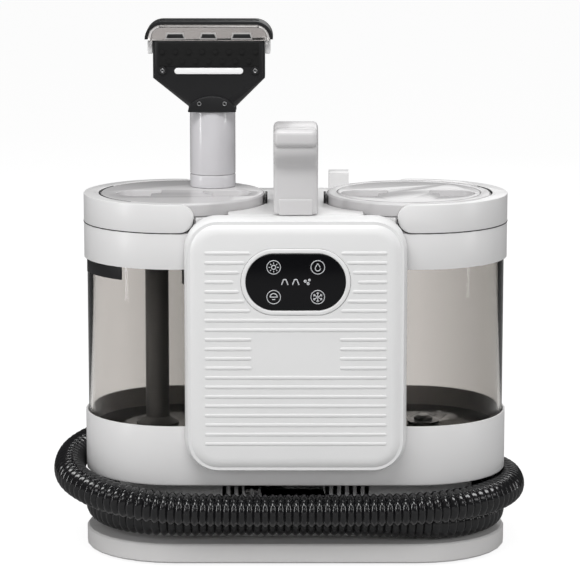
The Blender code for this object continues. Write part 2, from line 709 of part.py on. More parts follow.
def make_clean_tank(mats):
    side = 1
    cup = make_cup("clean_tank_cup", side, mats)
    cut(cup, tube(VALVE_R + GAP, 0.0, CUP_LOW - 1.0, CUP_LOW + CUP_FLOOR_T + 1.0, VALVE_X, 0.0))
    collar = make_collar("clean_tank_collar", side, mats)
    floor = CUP_LOW + CUP_FLOOR_T + GAP
    seat = node("clean_valve_seat", turned([
        (VALVE_BORE_R, WELL_FLOOR - 1.5), (VALVE_R, WELL_FLOOR - 1.5), (VALVE_R, floor),
        (VALVE_FLANGE_R, floor),
        (VALVE_FLANGE_R, floor + 2.2), (VALVE_BORE_R, floor + 2.2)], VALVE_X, 0.0), mats["steel"])
    carry(body("clean_tank_body", side * END_X, 0.0, CUP_LOW), cup, collar, seat)
    plug_low = floor + 2.2 + GAP
    plunger = node("clean_valve_plunger", turned([
        (0.0, WELL_FLOOR - 4.0), (2.6, WELL_FLOOR - 4.0), (2.6, plug_low), (8.0, plug_low),
        (8.0, plug_low + 2.0), (5.0, plug_low + 4.0), (0.0, plug_low + 4.0)], VALVE_X, 0.0), mats["steel"])
    carry(body("clean_valve_body", VALVE_X, 0.0, floor), plunger)

    lid = make_lid("clean_lid", side, CAP_LEDGE + 0.5, mats)
    cut(lid, tube(CAP_R + GAP, 0.0, CAP_LEDGE, LID_TOP + 1.0, side * LID_X, 0.0, WIDE))
    seal = make_seal("clean_lid_seal", side, mats)
    bail, pins = make_bail("clean_handle", side, mats)
    carry(body("clean_lid_body", side * LID_X, 0.0, COLLAR_TOP), lid, seal, *pins)
    carry(body("clean_handle_body", side * PIVOT_X, 0.0, PIVOT_Z), bail)

    edge = 0.8
    cap = node("fill_cap", turned([
        (0.0, CAP_LEDGE + GAP), (CAP_R, CAP_LEDGE + GAP), (CAP_R, LID_TOP - edge),
        (CAP_R - edge, LID_TOP), (0.0, LID_TOP)], side * LID_X, 0.0, WIDE), mats["lid"])
    for far, near in POCKETS:
        cut(cap, pocket(side, far, near))
    carry(body("fill_cap_body", side * LID_X, 0.0, CAP_LEDGE), cap)


# ---------------------------------------------------------------- wand

def head_section(half_x, half_y, r, side=0.0):
    """Plan of the head; side moves its middle off the tube's."""
    middle = WAND_X + side
    return rounded(middle - half_x, middle + half_x, WAND_Y - half_y, WAND_Y + half_y, r, 5)


def lip_outline(grow, low):
    """Front view of the suction lip: flat below, round at its upper corners."""
    r = LIP_R + grow
    right = WAND_X + HEAD_SIDE + LIP_X + grow
    left = WAND_X + HEAD_SIDE - LIP_X - grow
    top = LIP_TOP + grow
    points = [(right, low)] + arc(right - r, top - r, r, 0.0, 90.0, 10)
    return points + arc(left + r, top - r, r, 90.0, 180.0, 10) + [(left, low)]


def make_wand(mats):
    tube_low = DOCK_TOP + GAP
    pipe = node("wand_tube", turned([
        (WAND_BORE_R, LID_TOP + 1.0), (SPIGOT_R, LID_TOP + 1.0), (SPIGOT_R, tube_low), (WAND_R, tube_low),
        (WAND_R, TUBE_TOP), (WAND_BORE_R, TUBE_TOP)], WAND_X, WAND_Y, 40), mats["tube"])
    low = TUBE_TOP + GAP
    neck = WAND_R + NECK_PROUD
    wall = HEAD_WALL
    head = node("nozzle_body", loft([
        (head_section(neck, neck, neck - 1.0), low),
        (head_section(neck, neck, neck - 1.0), TAPER_LOW),
        (head_section(HEAD_X, HEAD_Y, HEAD_CORNER, HEAD_SIDE), TAPER_TOP),
        (head_section(HEAD_X, HEAD_Y, HEAD_CORNER, HEAD_SIDE), HEAD_TOP)]), mats["nozzle"])
    cut(head, loft([
        (head_section(neck - wall, neck - wall, neck - 1.0 - wall), low - 1.0),
        (head_section(neck - wall, neck - wall, neck - 1.0 - wall), TAPER_LOW + 1.0),
        (head_section(HEAD_X - wall, HEAD_Y - wall, HEAD_CORNER - wall, HEAD_SIDE), TAPER_TOP + 1.0),
        (head_section(HEAD_X - wall, HEAD_Y - wall, HEAD_CORNER - wall, HEAD_SIDE), HEAD_TOP + 1.0)]))

    middle = WAND_X + HEAD_SIDE
    lip_low = HEAD_TOP + GAP
    front = WAND_Y - HEAD_Y
    back = WAND_Y + HEAD_Y
    lip = node("nozzle_window", prism(lip_outline(0.0, lip_low), front, back, axis="Y"), mats["clear"])
    cut(lip, prism(lip_outline(-wall, lip_low - 1.0), front + wall, back - wall, axis="Y"))
    mouth = (middle - MOUTH_X, middle + MOUTH_X, WAND_Y - MOUTH_Y, WAND_Y + MOUTH_Y)
    cut(lip, block(*mouth, LIP_TOP - 5.0, LIP_TOP + 5.0))
    strip = node("nozzle_strip", prism(lip_outline(GAP + STRIP_T, lip_low + 1.0), front, back, axis="Y"),
                 mats["nozzle"])
    cut(strip, prism(lip_outline(GAP, lip_low - 1.0), front - 1.0, back + 1.0, axis="Y"))
    cut(strip, block(*mouth, LIP_TOP - 5.0, LIP_TOP + 8.0))

    face = front - GAP
    bar = [(middle + x, BAR_Z + z) for x, z in stadium(BAR_HALF, BAR_R, 8)]
    light = node("nozzle_light_strip", prism(bar, face - 1.2, face, axis="Y"), mats["light"])
    pad_x = HEAD_X - 5.0
    pad = node("bristle_pad", block(middle - pad_x, middle + pad_x, face - 0.8, face, *PAD_Z), mats["rubber"])
    tufts = []
    for z, count in TUFT_ROWS:
        for k in range(count):
            x = middle + TUFT_PITCH * (k - (count - 1) / 2)
            tufts.append(prism(circle(x, z, TUFT_R, 8), face - 2.2, face - 0.4, axis="Y"))
    add(pad, gathered(tufts))
    clips = []
    screws = []
    for label, side in (("left", -1), ("right", 1)):
        near = middle + side * (HEAD_X + GAP)
        far = near + side * 4.3
        clips.append(node(f"nozzle_clip_{label}", block(min(near, far), max(near, far), WAND_Y - 10.0,
                                                       WAND_Y + 10.0, HEAD_TOP - 11.5, HEAD_TOP - 0.5),
                          mats["body"]))
        spot = circle(middle + side * SCREW_X, BAR_Z + 0.4, SCREW_R, 16)
        screws.append(node(f"nozzle_screw_{label}", prism(spot, face - 1.0, face, axis="Y"), mats["steel"]))
    carry(body("wand_body", WAND_X, WAND_Y, LID_TOP), pipe, head, lip, strip, light, pad, *clips, *screws)


# ---------------------------------------------------------------- inside

def make_inside(mats):
    node("vacuum_motor", turned([
        (SHAFT_R + GAP, MOTOR_LOW), (MOTOR_R, MOTOR_LOW), (MOTOR_R, MOTOR_TOP), (0.0, MOTOR_TOP),
        (0.0, MOTOR_LOW + SHAFT_DEPTH), (SHAFT_R + GAP, MOTOR_LOW + SHAFT_DEPTH)], 0.0, 0.0), mats["steel"])
    shaft = node("motor_shaft", tube(SHAFT_R, 0.0, IMPELLER_LOW - 6.0, MOTOR_LOW + SHAFT_DEPTH - 1.0, 0.0,
                                     0.0, 20),
                 mats["steel"])
    hub_r = 9.0
    impeller = node("impeller", turned([
        (SHAFT_R + GAP, IMPELLER_LOW), (IMPELLER_R, IMPELLER_LOW), (IMPELLER_R, IMPELLER_LOW + 2.0),
        (hub_r, IMPELLER_LOW + 3.0), (hub_r, IMPELLER_TOP), (SHAFT_R + GAP, IMPELLER_TOP)], 0.0, 0.0),
        mats["black"])
    blades = []
    for k in range(BLADES):
        turn = 2.0 * pi * k / BLADES
        line = [(hub_r - 1.5, turn), (20.0, turn + 0.35), (IMPELLER_R - 1.0, turn + 0.55)]
        near = [(r * cos(t), r * sin(t)) for r, t in line]
        far = [(r * cos(t + 1.4 / r), r * sin(t + 1.4 / r)) for r, t in reversed(line)]
        blades.append(prism(near + far, IMPELLER_LOW + 1.0, IMPELLER_TOP - 2.0))
    add(impeller, gathered(blades))
    carry(body("impeller_body"), shaft, impeller)

    shroud_low = IMPELLER_LOW - 12.0
    inner = SHROUD_R - SHROUD_WALL
    node("fan_shroud", turned([
        (SHROUD_EYE_R, shroud_low), (SHROUD_R, shroud_low), (SHROUD_R, MOTOR_LOW - GAP),
        (inner, MOTOR_LOW - GAP),
        (inner, shroud_low + 2.5), (SHROUD_EYE_R, shroud_low + 2.5)], 0.0, 0.0), mats["black"])
    node("motor_mount", tube(SHROUD_R, MOTOR_R + GAP, MOTOR_LOW, MOTOR_LOW + 10.0, 0.0, 0.0), mats["rubber"])

    pump_low = HOUSING_LOW + FLOOR_T + GAP
    pump = node("water_pump", block(VALVE_X - 32.0, VALVE_X + 18.0, -16.0, 16.0, pump_low, pump_low + 18.0),
                mats["black"])
    add(pump, tube(2.4, 0.0, pump_low + 17.0, WELL_FLOOR - 4.0 - GAP, VALVE_X, 0.0, 16))


# ---------------------------------------------------------------- hose

def round_end(side, angle, radius, height):
    """A point about one round end; the angle is 0 at the far side and 90 at the rear."""
    turn = radians(angle)
    return (side * (END_X + radius * cos(turn)), radius * sin(turn), height)


def hose_route():
    """The hose's centre line: two turns round the core, then up the back to the clip."""
    turn = (90, 65, 40, 15, -15, -40, -65, -90)
    low_r = INNER_TURN_R
    wide_r = OUTER_TURN_R
    floor = PLINTH_TOP
    route = [(PORT_X, low_r, floor + 16.4), (0.0, low_r, floor + 16.4), (50.0, low_r, floor + 16.0)]
    lows = (15.6, 15.1, 14.8, 14.5, 14.5, 14.7, 15.2, 16.4)
    route += [round_end(1, a, low_r, floor + z) for a, z in zip(turn, lows)]
    route += [(50.0, -low_r, floor + 18.2), (0.0, -low_r, floor + 18.6), (-50.0, -low_r, floor + 18.6)]
    route += [round_end(-1, a, low_r, floor + 18.4) for a in (-90, -65, -40, -15)]
    route += [round_end(-1, 12, low_r + 1.0, floor + 19.0), round_end(-1, 38, low_r + 5.0, floor + 21.5),
              round_end(-1, 64, low_r + 14.0, floor + 27.5), round_end(-1, 90, wide_r - 2.5, floor + 33.5)]
    route += [(-50.0, wide_r - 2.0, floor + 34.5), (0.0, wide_r - 2.5, floor + 34.5),
              (50.0, wide_r - 3.5, floor + 35.2)]
    spreads = (-4.4, -5.4, -6.0, -6.2, -6.2, -5.4, -3.6, -1.8)
    rises = (35.7, 36.1, 36.3, 36.4, 36.4, 35.9, 34.7, 33.3)
    route += [round_end(1, a, wide_r + r, floor + z) for a, r, z in zip(turn, spreads, rises)]
    route += [(50.0, -wide_r - 0.2, floor + 32.4), (0.0, -wide_r - 0.6, floor + 32.3),
              (-50.0, -wide_r - 0.8, floor + 32.4)]
    climbs = ((-90, 0.4, 34.0), (-65, 1.2, 38.0), (-40, 2.4, 42.5), (-15, 4.2, 48.0), (15, 4.6, 54.0),
              (40, 4.6, 59.5), (65, 4.5, 65.0), (90, 4.6, 70.5))
    route += [round_end(-1, a, wide_r + r, floor + z) for a, r, z in climbs]
    rear = CLIP_Y
    route += [(-62.0, rear, floor + 80.0), (-24.0, rear, floor + 97.0), (8.0, rear, floor + 125.0),
              (28.0, rear, floor + 160.0), (36.5, rear, floor + 195.0), (CLIP_X, rear, CUFF_LOW)]
    return route


def evenly(points, count):
    """The curve through the points, cut into equal steps."""
    fine = [Vector(p) for p in smooth(points, 16)]
    run = [0.0]
    for before, here in zip(fine, fine[1:]):
        run.append(run[-1] + (here - before).length)
    result = []
    k = 0
    for i in range(count):
        goal = run[-1] * i / (count - 1)
        while k < len(fine) - 2 and run[k + 1] < goal:
            k += 1
        t = (goal - run[k]) / (run[k + 1] - run[k])
        result.append(fine[k].lerp(fine[k + 1], t))
    return result


def make_hose(mats):
    curve = bpy.data.curves.new("hose", "CURVE")
    curve.dimensions = "3D"
    curve.bevel_depth = HOSE_D / 2 * MM
    curve.bevel_resolution = 2
    curve.use_fill_caps = True
    spline = curve.splines.new("POLY")
    points = evenly(hose_route(), HOSE_POINTS)
    spline.points.add(len(points) - 1)
    for knot, point in zip(spline.points, points):
        knot.co = (*(point * MM), 1.0)
    curve.materials.append(mats["hose"])
    hose = bpy.data.objects.new("hose", curve)
    bpy.context.scene.collection.objects.link(hose)

    r = HOSE_D / 2
    node("hose_cuff", turned([
        (CUFF_BORE_R, CUFF_LOW + GAP), (CUFF_R, CUFF_LOW + GAP), (CUFF_R, CUFF_TOP - 4.0),
        (r - 1.0, CUFF_TOP),
        (CUFF_BORE_R, CUFF_TOP)], CLIP_X, CLIP_Y), mats["black"])
    port_end = PORT_X - GAP
    port_y, port_z = hose_route()[0][1:]
    socket = circle(port_y, port_z, r, 24)
    port = node("hose_port", prism(socket, port_end - PORT_LENGTH, port_end, axis="X"), mats["black"])
    add(port, block(port_end - PORT_LENGTH + 4.0, port_end - 6.0, CORE_R + GAP, port_y, port_z - 9.0,
                    port_z + 9.0))


def make_clip(mats):
    low = CUFF_LOW + 4.0
    wrap = CLIP_WRAP
    inner = CUFF_R + GAP
    outer = inner + CLIP_WALL
    ring = arc(CLIP_X, CLIP_Y, outer, 180.0 - wrap, 360.0 + wrap, 28)
    ring += arc(CLIP_X, CLIP_Y, inner, 360.0 + wrap, 180.0 - wrap, 28)
    clip = node("hose_clip", prism(ring, low, CUFF_TOP + 4.0), mats["body"])
    add(clip, block(CLIP_X - CLIP_ARM_HALF, CLIP_X + CLIP_ARM_HALF, BODY_R - 1.0, CLIP_BACK,
                    CUFF_TOP + 3.0, CLIP_TOP))
    cut(clip, block(CLIP_X - 30.0, CLIP_X + 30.0, BODY_R - 20.0, BODY_R + GAP, low - 1.0, CLIP_TOP + 1.0))


# ---------------------------------------------------------------- build

def main():
    clear_scene()
    mats = {
        "body": material("body_white", (0.72, 0.71, 0.71), 0.35),
        "panel": material("panel_white", (0.80, 0.80, 0.80), 0.38),
        "plinth": material("plinth_white", (0.70, 0.69, 0.69), 0.40),
        "lid": material("lid_white", (0.64, 0.62, 0.63), 0.42),
        "handle": material("handle_white", (0.66, 0.65, 0.66), 0.40),
        "tube": material("wand_white", (0.62, 0.61, 0.63), 0.30),
        "tank": material("smoked_clear", (0.30, 0.28, 0.26), 0.08, alpha=0.45),
        "clear": material("lip_clear", (0.45, 0.43, 0.42), 0.10, alpha=0.45),
        "nozzle": material("nozzle_black", (0.02, 0.02, 0.02), 0.45),
        "black": material("moulded_black", (0.015, 0.015, 0.015), 0.50),
        "rubber": material("rubber_black", (0.02, 0.02, 0.02), 0.75),
        "display": material("display_black", (0.006, 0.006, 0.006), 0.08),
        "light": material("light_bar_white", (0.90, 0.90, 0.90), 0.30),
        "board": material("board_green", (0.02, 0.10, 0.04), 0.45),
        "float": material("float_orange", (0.75, 0.25, 0.04), 0.45),
        "steel": material("bare_steel", (0.55, 0.55, 0.56), 0.30, metallic=1.0),
        "hose": material("hose_black", (0.012, 0.012, 0.012), 0.25),
    }
    make_base(mats)
    make_tower(mats)
    make_panel(mats)
    make_dirty_tank(mats)
    make_clean_tank(mats)
    make_wand(mats)
    make_inside(mats)
    make_hose(mats)
    make_clip(mats)


main()
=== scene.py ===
# %% [markdown]
# # A carpet cleaner machine, finished for a picture
# The working model, with its sizes and joints, is loaded as a fixed frame. This lesson gives each piece the
# surface of the real one: satin white mouldings, smoked tanks, a ribbed black hose, a gloss display.

# %% Load the frame
import json
from math import atan2, cos, degrees, pi, radians, sin

import bmesh
import bpy
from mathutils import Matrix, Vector


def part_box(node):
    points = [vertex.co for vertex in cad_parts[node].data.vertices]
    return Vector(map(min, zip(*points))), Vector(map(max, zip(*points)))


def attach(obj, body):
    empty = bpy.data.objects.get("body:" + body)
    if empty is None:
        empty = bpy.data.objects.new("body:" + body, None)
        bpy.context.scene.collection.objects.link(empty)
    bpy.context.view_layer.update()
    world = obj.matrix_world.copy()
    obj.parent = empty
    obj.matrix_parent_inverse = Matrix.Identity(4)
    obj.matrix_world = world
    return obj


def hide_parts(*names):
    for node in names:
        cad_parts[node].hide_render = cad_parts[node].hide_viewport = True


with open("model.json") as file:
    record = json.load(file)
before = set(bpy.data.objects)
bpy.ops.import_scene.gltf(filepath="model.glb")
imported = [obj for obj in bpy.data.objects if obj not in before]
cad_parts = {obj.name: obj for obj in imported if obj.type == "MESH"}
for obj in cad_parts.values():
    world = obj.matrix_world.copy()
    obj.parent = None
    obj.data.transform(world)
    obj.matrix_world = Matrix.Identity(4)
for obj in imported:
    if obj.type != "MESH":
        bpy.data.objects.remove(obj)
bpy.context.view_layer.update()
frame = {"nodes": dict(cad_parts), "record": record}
MM = 0.001

# %% [markdown]
# ## Small helpers
# Operators work on what is selected, so each helper first clears the selection and makes one object active.
# A finished piece has its place in its mesh, so every helper applies the transform it used.

# %% Helpers for selecting, cutting and softening


def only(obj):
    bpy.ops.object.select_all(action="DESELECT")
    obj.select_set(True)
    bpy.context.view_layer.objects.active = obj
    return obj


def settle(obj, name):
    only(obj)
    bpy.ops.object.transform_apply(location=True, rotation=True, scale=True)
    obj.name = name
    obj.data.name = name
    return obj


def slab(name, x, y, z):
    """A box between the low and high values of x, y and z."""
    bpy.ops.mesh.primitive_cube_add(size=1.0, location=[(v[0] + v[1]) / 2 for v in (x, y, z)])
    obj = bpy.context.object
    obj.scale = [abs(v[1] - v[0]) for v in (x, y, z)]
    return settle(obj, name)


def rod(name, centre, r, length, axis="Z", sides=64):
    turn = {"Z": (0.0, 0.0, 0.0), "Y": (pi / 2, 0.0, 0.0), "X": (0.0, pi / 2, 0.0)}[axis]
    bpy.ops.mesh.primitive_cylinder_add(vertices=sides, radius=r, depth=length, location=centre,
                                        rotation=turn)
    return settle(bpy.context.object, name)


def apply_step(obj, step):
    only(obj)
    bpy.ops.object.modifier_apply(modifier=step.name)


def boolean(obj, other, operation):
    step = obj.modifiers.new("shape", "BOOLEAN")
    step.operation = operation
    step.object = other
    apply_step(obj, step)
    bpy.data.objects.remove(other, do_unlink=True)
    return obj


def soften(obj, width, segments=3, angle=35.0):
    """Round every edge sharper than the angle, then shade the faces smooth."""
    step = obj.modifiers.new("soft", "BEVEL")
    step.width = width
    step.segments = segments
    step.limit_method = "ANGLE"
    step.angle_limit = radians(angle)
    step.miter_outer = "MITER_ARC"
    apply_step(obj, step)
    return smooth(obj)


def smooth(obj, angle=40.0):
    only(obj)
    bpy.ops.object.shade_smooth_by_angle(angle=radians(angle))
    return obj


def select_faces(obj, wanted):
    """Leave edit mode with only the faces that pass the test selected; the test reads centre and normal."""
    only(obj)
    bpy.ops.object.mode_set(mode="EDIT")
    bpy.ops.mesh.select_mode(type="FACE")
    bpy.ops.mesh.select_all(action="DESELECT")
    bpy.ops.object.mode_set(mode="OBJECT")
    for face in obj.data.polygons:
        face.select = wanted(face.center, face.normal)


def finish_piece(obj, body, mat, slot, *nodes):
    """Material, body, slot and the nodes that the piece stands for; the slot is not used."""
    obj.data.materials.clear()
    obj.data.materials.append(mat)
    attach(obj, body)
    if nodes:
        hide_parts(*nodes)
    return obj


bodies = frame["record"]["behaviour"]["bodies"]
body_of_node = {node: body for body, nodes in bodies.items() for node in nodes}
slot_of_node = {part["node"]: part["material_slot"] for part in frame["record"]["subparts"]}


def refined(node, mat, width, segments=3, angle=35.0):
    """A copy of a node with its triangles joined into whole faces and its edges rounded."""
    source = frame["nodes"][node]
    obj = bpy.data.objects.new(node + "_fine", source.data.copy())
    bpy.context.scene.collection.objects.link(obj)
    only(obj)
    bpy.ops.object.mode_set(mode="EDIT")
    bpy.ops.mesh.select_all(action="SELECT")
    bpy.ops.mesh.remove_doubles(threshold=0.00001)
    bpy.ops.mesh.dissolve_limited(angle_limit=radians(0.8))
    bpy.ops.object.mode_set(mode="OBJECT")
    if width:
        soften(obj, width, segments, angle)
    else:
        smooth(obj)
    return finish_piece(obj, body_of_node[node], mat, slot_of_node[node], node)


# %% [markdown]
# ## Finishes
# Moulded plastic is never one flat colour: it has a fine grain, slow changes of shade and slow changes of gloss.
# One node group makes these three effects, and each material sets its own amounts.

# %% The moulded group


def noise(tree, scale, detail, vector):
    node = tree.nodes.new("ShaderNodeTexNoise")
    node.inputs["Scale"].default_value = scale
    node.inputs["Detail"].default_value = detail
    tree.links.new(vector, node.inputs["Vector"])
    return node


def new_group(name, inputs, outputs):
    tree = bpy.data.node_groups.new(name, "ShaderNodeTree")
    for label, kind in inputs:
        tree.interface.new_socket(label, in_out="INPUT", socket_type=kind)
    for label, kind in outputs:
        tree.interface.new_socket(label, in_out="OUTPUT", socket_type=kind)
    return tree, tree.nodes.new("NodeGroupInput"), tree.nodes.new("NodeGroupOutput")


def make_moulded():
    """Colour, roughness and normal of a moulded surface."""
    tree, given, out = new_group(
        "moulded", [("Color", "NodeSocketColor"), ("Shade", "NodeSocketColor"),
                    ("Roughness", "NodeSocketFloat"), ("Grain", "NodeSocketFloat")],
        [("Color", "NodeSocketColor"), ("Roughness", "NodeSocketFloat"), ("Normal", "NodeSocketVector")])
    place = tree.nodes.new("ShaderNodeTexCoord")
    slow = noise(tree, 14.0, 2.0, place.outputs["Object"])
    fine = noise(tree, 2600.0, 3.0, place.outputs["Object"])
    blend = tree.nodes.new("ShaderNodeMix")
    blend.data_type = "RGBA"
    tree.links.new(slow.outputs["Fac"], blend.inputs["Factor"])
    tree.links.new(given.outputs["Color"], blend.inputs["A"])
    tree.links.new(given.outputs["Shade"], blend.inputs["B"])
    tree.links.new(blend.outputs["Result"], out.inputs["Color"])
    gloss = tree.nodes.new("ShaderNodeMapRange")
    gloss.inputs["To Min"].default_value = -0.04
    gloss.inputs["To Max"].default_value = 0.05
    tree.links.new(slow.outputs["Fac"], gloss.inputs["Value"])
    total = tree.nodes.new("ShaderNodeMath")
    tree.links.new(given.outputs["Roughness"], total.inputs[0])
    tree.links.new(gloss.outputs["Result"], total.inputs[1])
    tree.links.new(total.outputs["Value"], out.inputs["Roughness"])
    bump = tree.nodes.new("ShaderNodeBump")
    bump.inputs["Distance"].default_value = 0.0001
    tree.links.new(given.outputs["Grain"], bump.inputs["Strength"])
    tree.links.new(fine.outputs["Fac"], bump.inputs["Height"])
    tree.links.new(bump.outputs["Normal"], out.inputs["Normal"])
    return tree


MOULDED = make_moulded()


def plastic(name, colour, roughness, grain=0.25, contrast=0.95, coat=0.0, specular=0.5):
    mat = bpy.data.materials.new(name)
    mat.use_nodes = True
    tree = mat.node_tree
    shader = tree.nodes["Principled BSDF"]
    effect = tree.nodes.new("ShaderNodeGroup")
    effect.node_tree = MOULDED
    effect.inputs["Color"].default_value = (*colour, 1.0)
    effect.inputs["Shade"].default_value = (*[v * contrast for v in colour], 1.0)
    effect.inputs["Roughness"].default_value = roughness
    effect.inputs["Grain"].default_value = grain
    for label in ("Color", "Roughness", "Normal"):
        target = "Base Color" if label == "Color" else label
        tree.links.new(effect.outputs[label], shader.inputs[target])
    shader.inputs["Coat Weight"].default_value = coat
    shader.inputs["Coat Roughness"].default_value = 0.08
    shader.inputs["Specular IOR Level"].default_value = specular
    return mat


# %% [markdown]
# The clear pieces let light through, so they are glass-like shaders with the smoke in their colour. The steel
# uses the same grain with a metallic shader.

# %% Every finish of the machine


def clear_plastic(name, light, painted_shade, x0, x1, roughness, ior):
    """Tinted clear plastic; its colour darkens from x0 to x1, which on the tanks is painted shade."""
    mat = plastic(name, light, roughness, grain=0.02, contrast=0.97)
    tree = mat.node_tree
    shader = tree.nodes["Principled BSDF"]
    shader.inputs["Transmission Weight"].default_value = 1.0
    shader.inputs["IOR"].default_value = ior
    place = tree.nodes.new("ShaderNodeTexCoord")
    split = tree.nodes.new("ShaderNodeSeparateXYZ")
    tree.links.new(place.outputs["Object"], split.inputs["Vector"])
    span = tree.nodes.new("ShaderNodeMapRange")
    span.inputs["From Min"].default_value = x0
    span.inputs["From Max"].default_value = x1
    tree.links.new(split.outputs["X"], span.inputs["Value"])
    # Painted shade: the colour runs from the light tint to the darker one along x.
    tint_and_shade = tree.nodes.new("ShaderNodeMix")
    tint_and_shade.data_type = "RGBA"
    tint_and_shade.inputs["A"].default_value = (*light, 1.0)
    tint_and_shade.inputs["B"].default_value = (*painted_shade, 1.0)
    tree.links.new(span.outputs["Result"], tint_and_shade.inputs["Factor"])
    tree.links.new(tint_and_shade.outputs["Result"], shader.inputs["Base Color"])
    return mat


def metal(name, colour, roughness):
    mat = plastic(name, colour, roughness, grain=0.3)
    mat.node_tree.nodes["Principled BSDF"].inputs["Metallic"].default_value = 1.0
    return mat


# The deep smoke is painted shade: each tank darkens along x, away from the key light.
LIGHT_SMOKE = (0.70, 0.68, 0.66)
SMOKE_PAINTED_SHADE = (0.50, 0.485, 0.465)
BODY_WHITE = plastic("satin_white_moulding", (0.80, 0.795, 0.795), 0.30)
PANEL_WHITE = plastic("panel_white", (0.84, 0.84, 0.84), 0.34)
PLINTH_WHITE = plastic("plinth_white", (0.78, 0.77, 0.765), 0.36)
LID_WHITE = plastic("lid_pale_grey", (0.60, 0.59, 0.595), 0.22, grain=0.1)
HANDLE_WHITE = plastic("handle_pale_grey", (0.66, 0.65, 0.655), 0.28)
TUBE_WHITE = plastic("wand_tube_white", (0.66, 0.65, 0.67), 0.24, grain=0.1, coat=0.4)
SMOKED_LEFT = clear_plastic("smoked_tank_left", LIGHT_SMOKE, SMOKE_PAINTED_SHADE, -0.150, -0.075, 0.02, 1.18)
SMOKED_RIGHT = clear_plastic("smoked_tank_right", LIGHT_SMOKE, SMOKE_PAINTED_SHADE, 0.105, 0.185, 0.02, 1.18)
LIP_CLEAR = clear_plastic("clear_lip", (0.62, 0.60, 0.59), (0.58, 0.56, 0.55), -0.125, -0.020, 0.16, 1.25)
LIP_GREY = plastic("lip_grey", (0.40, 0.39, 0.385), 0.3)
PIPE_DARK = plastic("standpipe_dark", (0.05, 0.048, 0.046), 0.5)
# Near black for the sheets of painted shade on the tanks' floors.
WELL_PAINTED_SHADE = plastic("well_pad_dark", (0.012, 0.011, 0.011), 0.35, contrast=0.7)
NOZZLE_BLACK = plastic("nozzle_black", (0.014, 0.014, 0.015), 0.42, grain=0.35, contrast=0.7, specular=0.3)
# Black for real mouldings, and also for the dark lines and rings painted as shadow in gaps and round the nozzle's
# screws.
MOULD_BLACK_AND_PAINTED_SHADE = plastic("moulded_black", (0.012, 0.012, 0.013), 0.48, contrast=0.7, specular=0.3)
RUBBER = plastic("black_rubber", (0.012, 0.012, 0.012), 0.72, grain=0.6, contrast=0.7, specular=0.2)
DISPLAY = plastic("display_gloss_black", (0.003, 0.003, 0.004), 0.10, grain=0.0, specular=0.25)
MARKS = plastic("display_marks", (0.62, 0.63, 0.65), 0.4, grain=0.0)
LIGHT_BAR = plastic("light_bar_white", (0.95, 0.95, 0.95), 0.30, grain=0.05)
HOSE_BLACK = plastic("hose_gloss_black", (0.006, 0.006, 0.007), 0.16, grain=0.1, contrast=0.7, specular=0.6)
BOARD = plastic("board_green", (0.02, 0.10, 0.04), 0.45)
FLOAT = plastic("float_orange", (0.62, 0.20, 0.04), 0.45)
DARK_STEEL = metal("dark_steel", (0.10, 0.10, 0.10), 0.35)
STEEL = metal("bare_steel", (0.55, 0.55, 0.56), 0.30)
print("finishes", len(bpy.data.materials))

# %% [markdown]
# ## Camera
# The machine is seen from the front, a little above, through a long lens, so its upright edges stay almost
# parallel.

# %% Camera
CAMERA_AIM = Vector((-0.0047, 0.0, 0.222))
CAMERA_DISTANCE = 2.56
CAMERA_RISE = radians(10.2)

bpy.ops.object.camera_add()
camera = bpy.context.object
camera.data.lens = 186.0
back = Vector((0.0, -cos(CAMERA_RISE), sin(CAMERA_RISE)))
camera.location = CAMERA_AIM + back * CAMERA_DISTANCE
camera.rotation_euler = (-back).to_track_quat("-Z", "Y").to_euler()
camera.data.clip_end = 50.0
bpy.context.scene.camera = camera

# %% [markdown]
# ## The suction hose
# The hose is a soft tube stiffened by a wire coil, so its surface is a row of round ribs. It lies in two turns
# round the core, then climbs the back to its cuff in the clip. Its centre line repeats the route of the working
# model; the ribs are rings whose radius rises and falls along the line.

# %% The hose's route
CORE_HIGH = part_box("hose_core")[1]
HOUSING_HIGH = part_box("lower_housing")[1]
PLINTH_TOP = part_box("plinth")[1].z / MM
BODY_R = HOUSING_HIGH.y / MM
END_X = HOUSING_HIGH.x / MM - BODY_R
HOSE_R = 0.0138
INNER_R = CORE_HIGH.y / MM + 14.9
OUTER_R = BODY_R + 10.6
CUFF_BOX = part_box("hose_cuff")
CLIP_X = (CUFF_BOX[0].x + CUFF_BOX[1].x) / 2 / MM
CLIP_Y = (CUFF_BOX[0].y + CUFF_BOX[1].y) / 2 / MM
CUFF_LOW = CUFF_BOX[0].z / MM - 0.3


def straight(x, y, rise):
    """A point in millimetres, its height taken from the plinth's top."""
    return Vector((x, y, PLINTH_TOP + rise)) * MM


def round_end(side, angle, radius, rise):
    """A point about one round end; 0 degrees is the far side and 90 the rear."""
    turn = radians(angle)
    return straight(side * (END_X + radius * cos(turn)), radius * sin(turn), rise)


TURN = (90, 65, 40, 15, -15, -40, -65, -90)
LOWS = (15.6, 15.1, 14.8, 14.5, 14.5, 14.7, 15.2, 16.4)
SPREADS = (-4.4, -5.4, -6.0, -6.2, -6.2, -5.4, -3.6, -1.8)
RISES = (35.7, 36.1, 36.3, 36.4, 36.4, 35.9, 34.7, 33.3)
CLIMBS = ((-90, 0.4, 34.0), (-65, 1.2, 38.0), (-40, 2.4, 42.5), (-15, 4.2, 48.0), (15, 4.6, 54.0),
          (40, 4.6, 59.5), (65, 4.5, 65.0), (90, 4.6, 70.5))
route = [straight(-44.0, INNER_R, 16.4), straight(0.0, INNER_R, 16.4), straight(50.0, INNER_R, 16.0)]
route += [round_end(1, a, INNER_R, z) for a, z in zip(TURN, LOWS)]
route += [straight(50.0, -INNER_R, 18.2), straight(0.0, -INNER_R, 18.6), straight(-50.0, -INNER_R, 18.6)]
route += [round_end(-1, a, INNER_R, 18.4) for a in (-90, -65, -40, -15)]
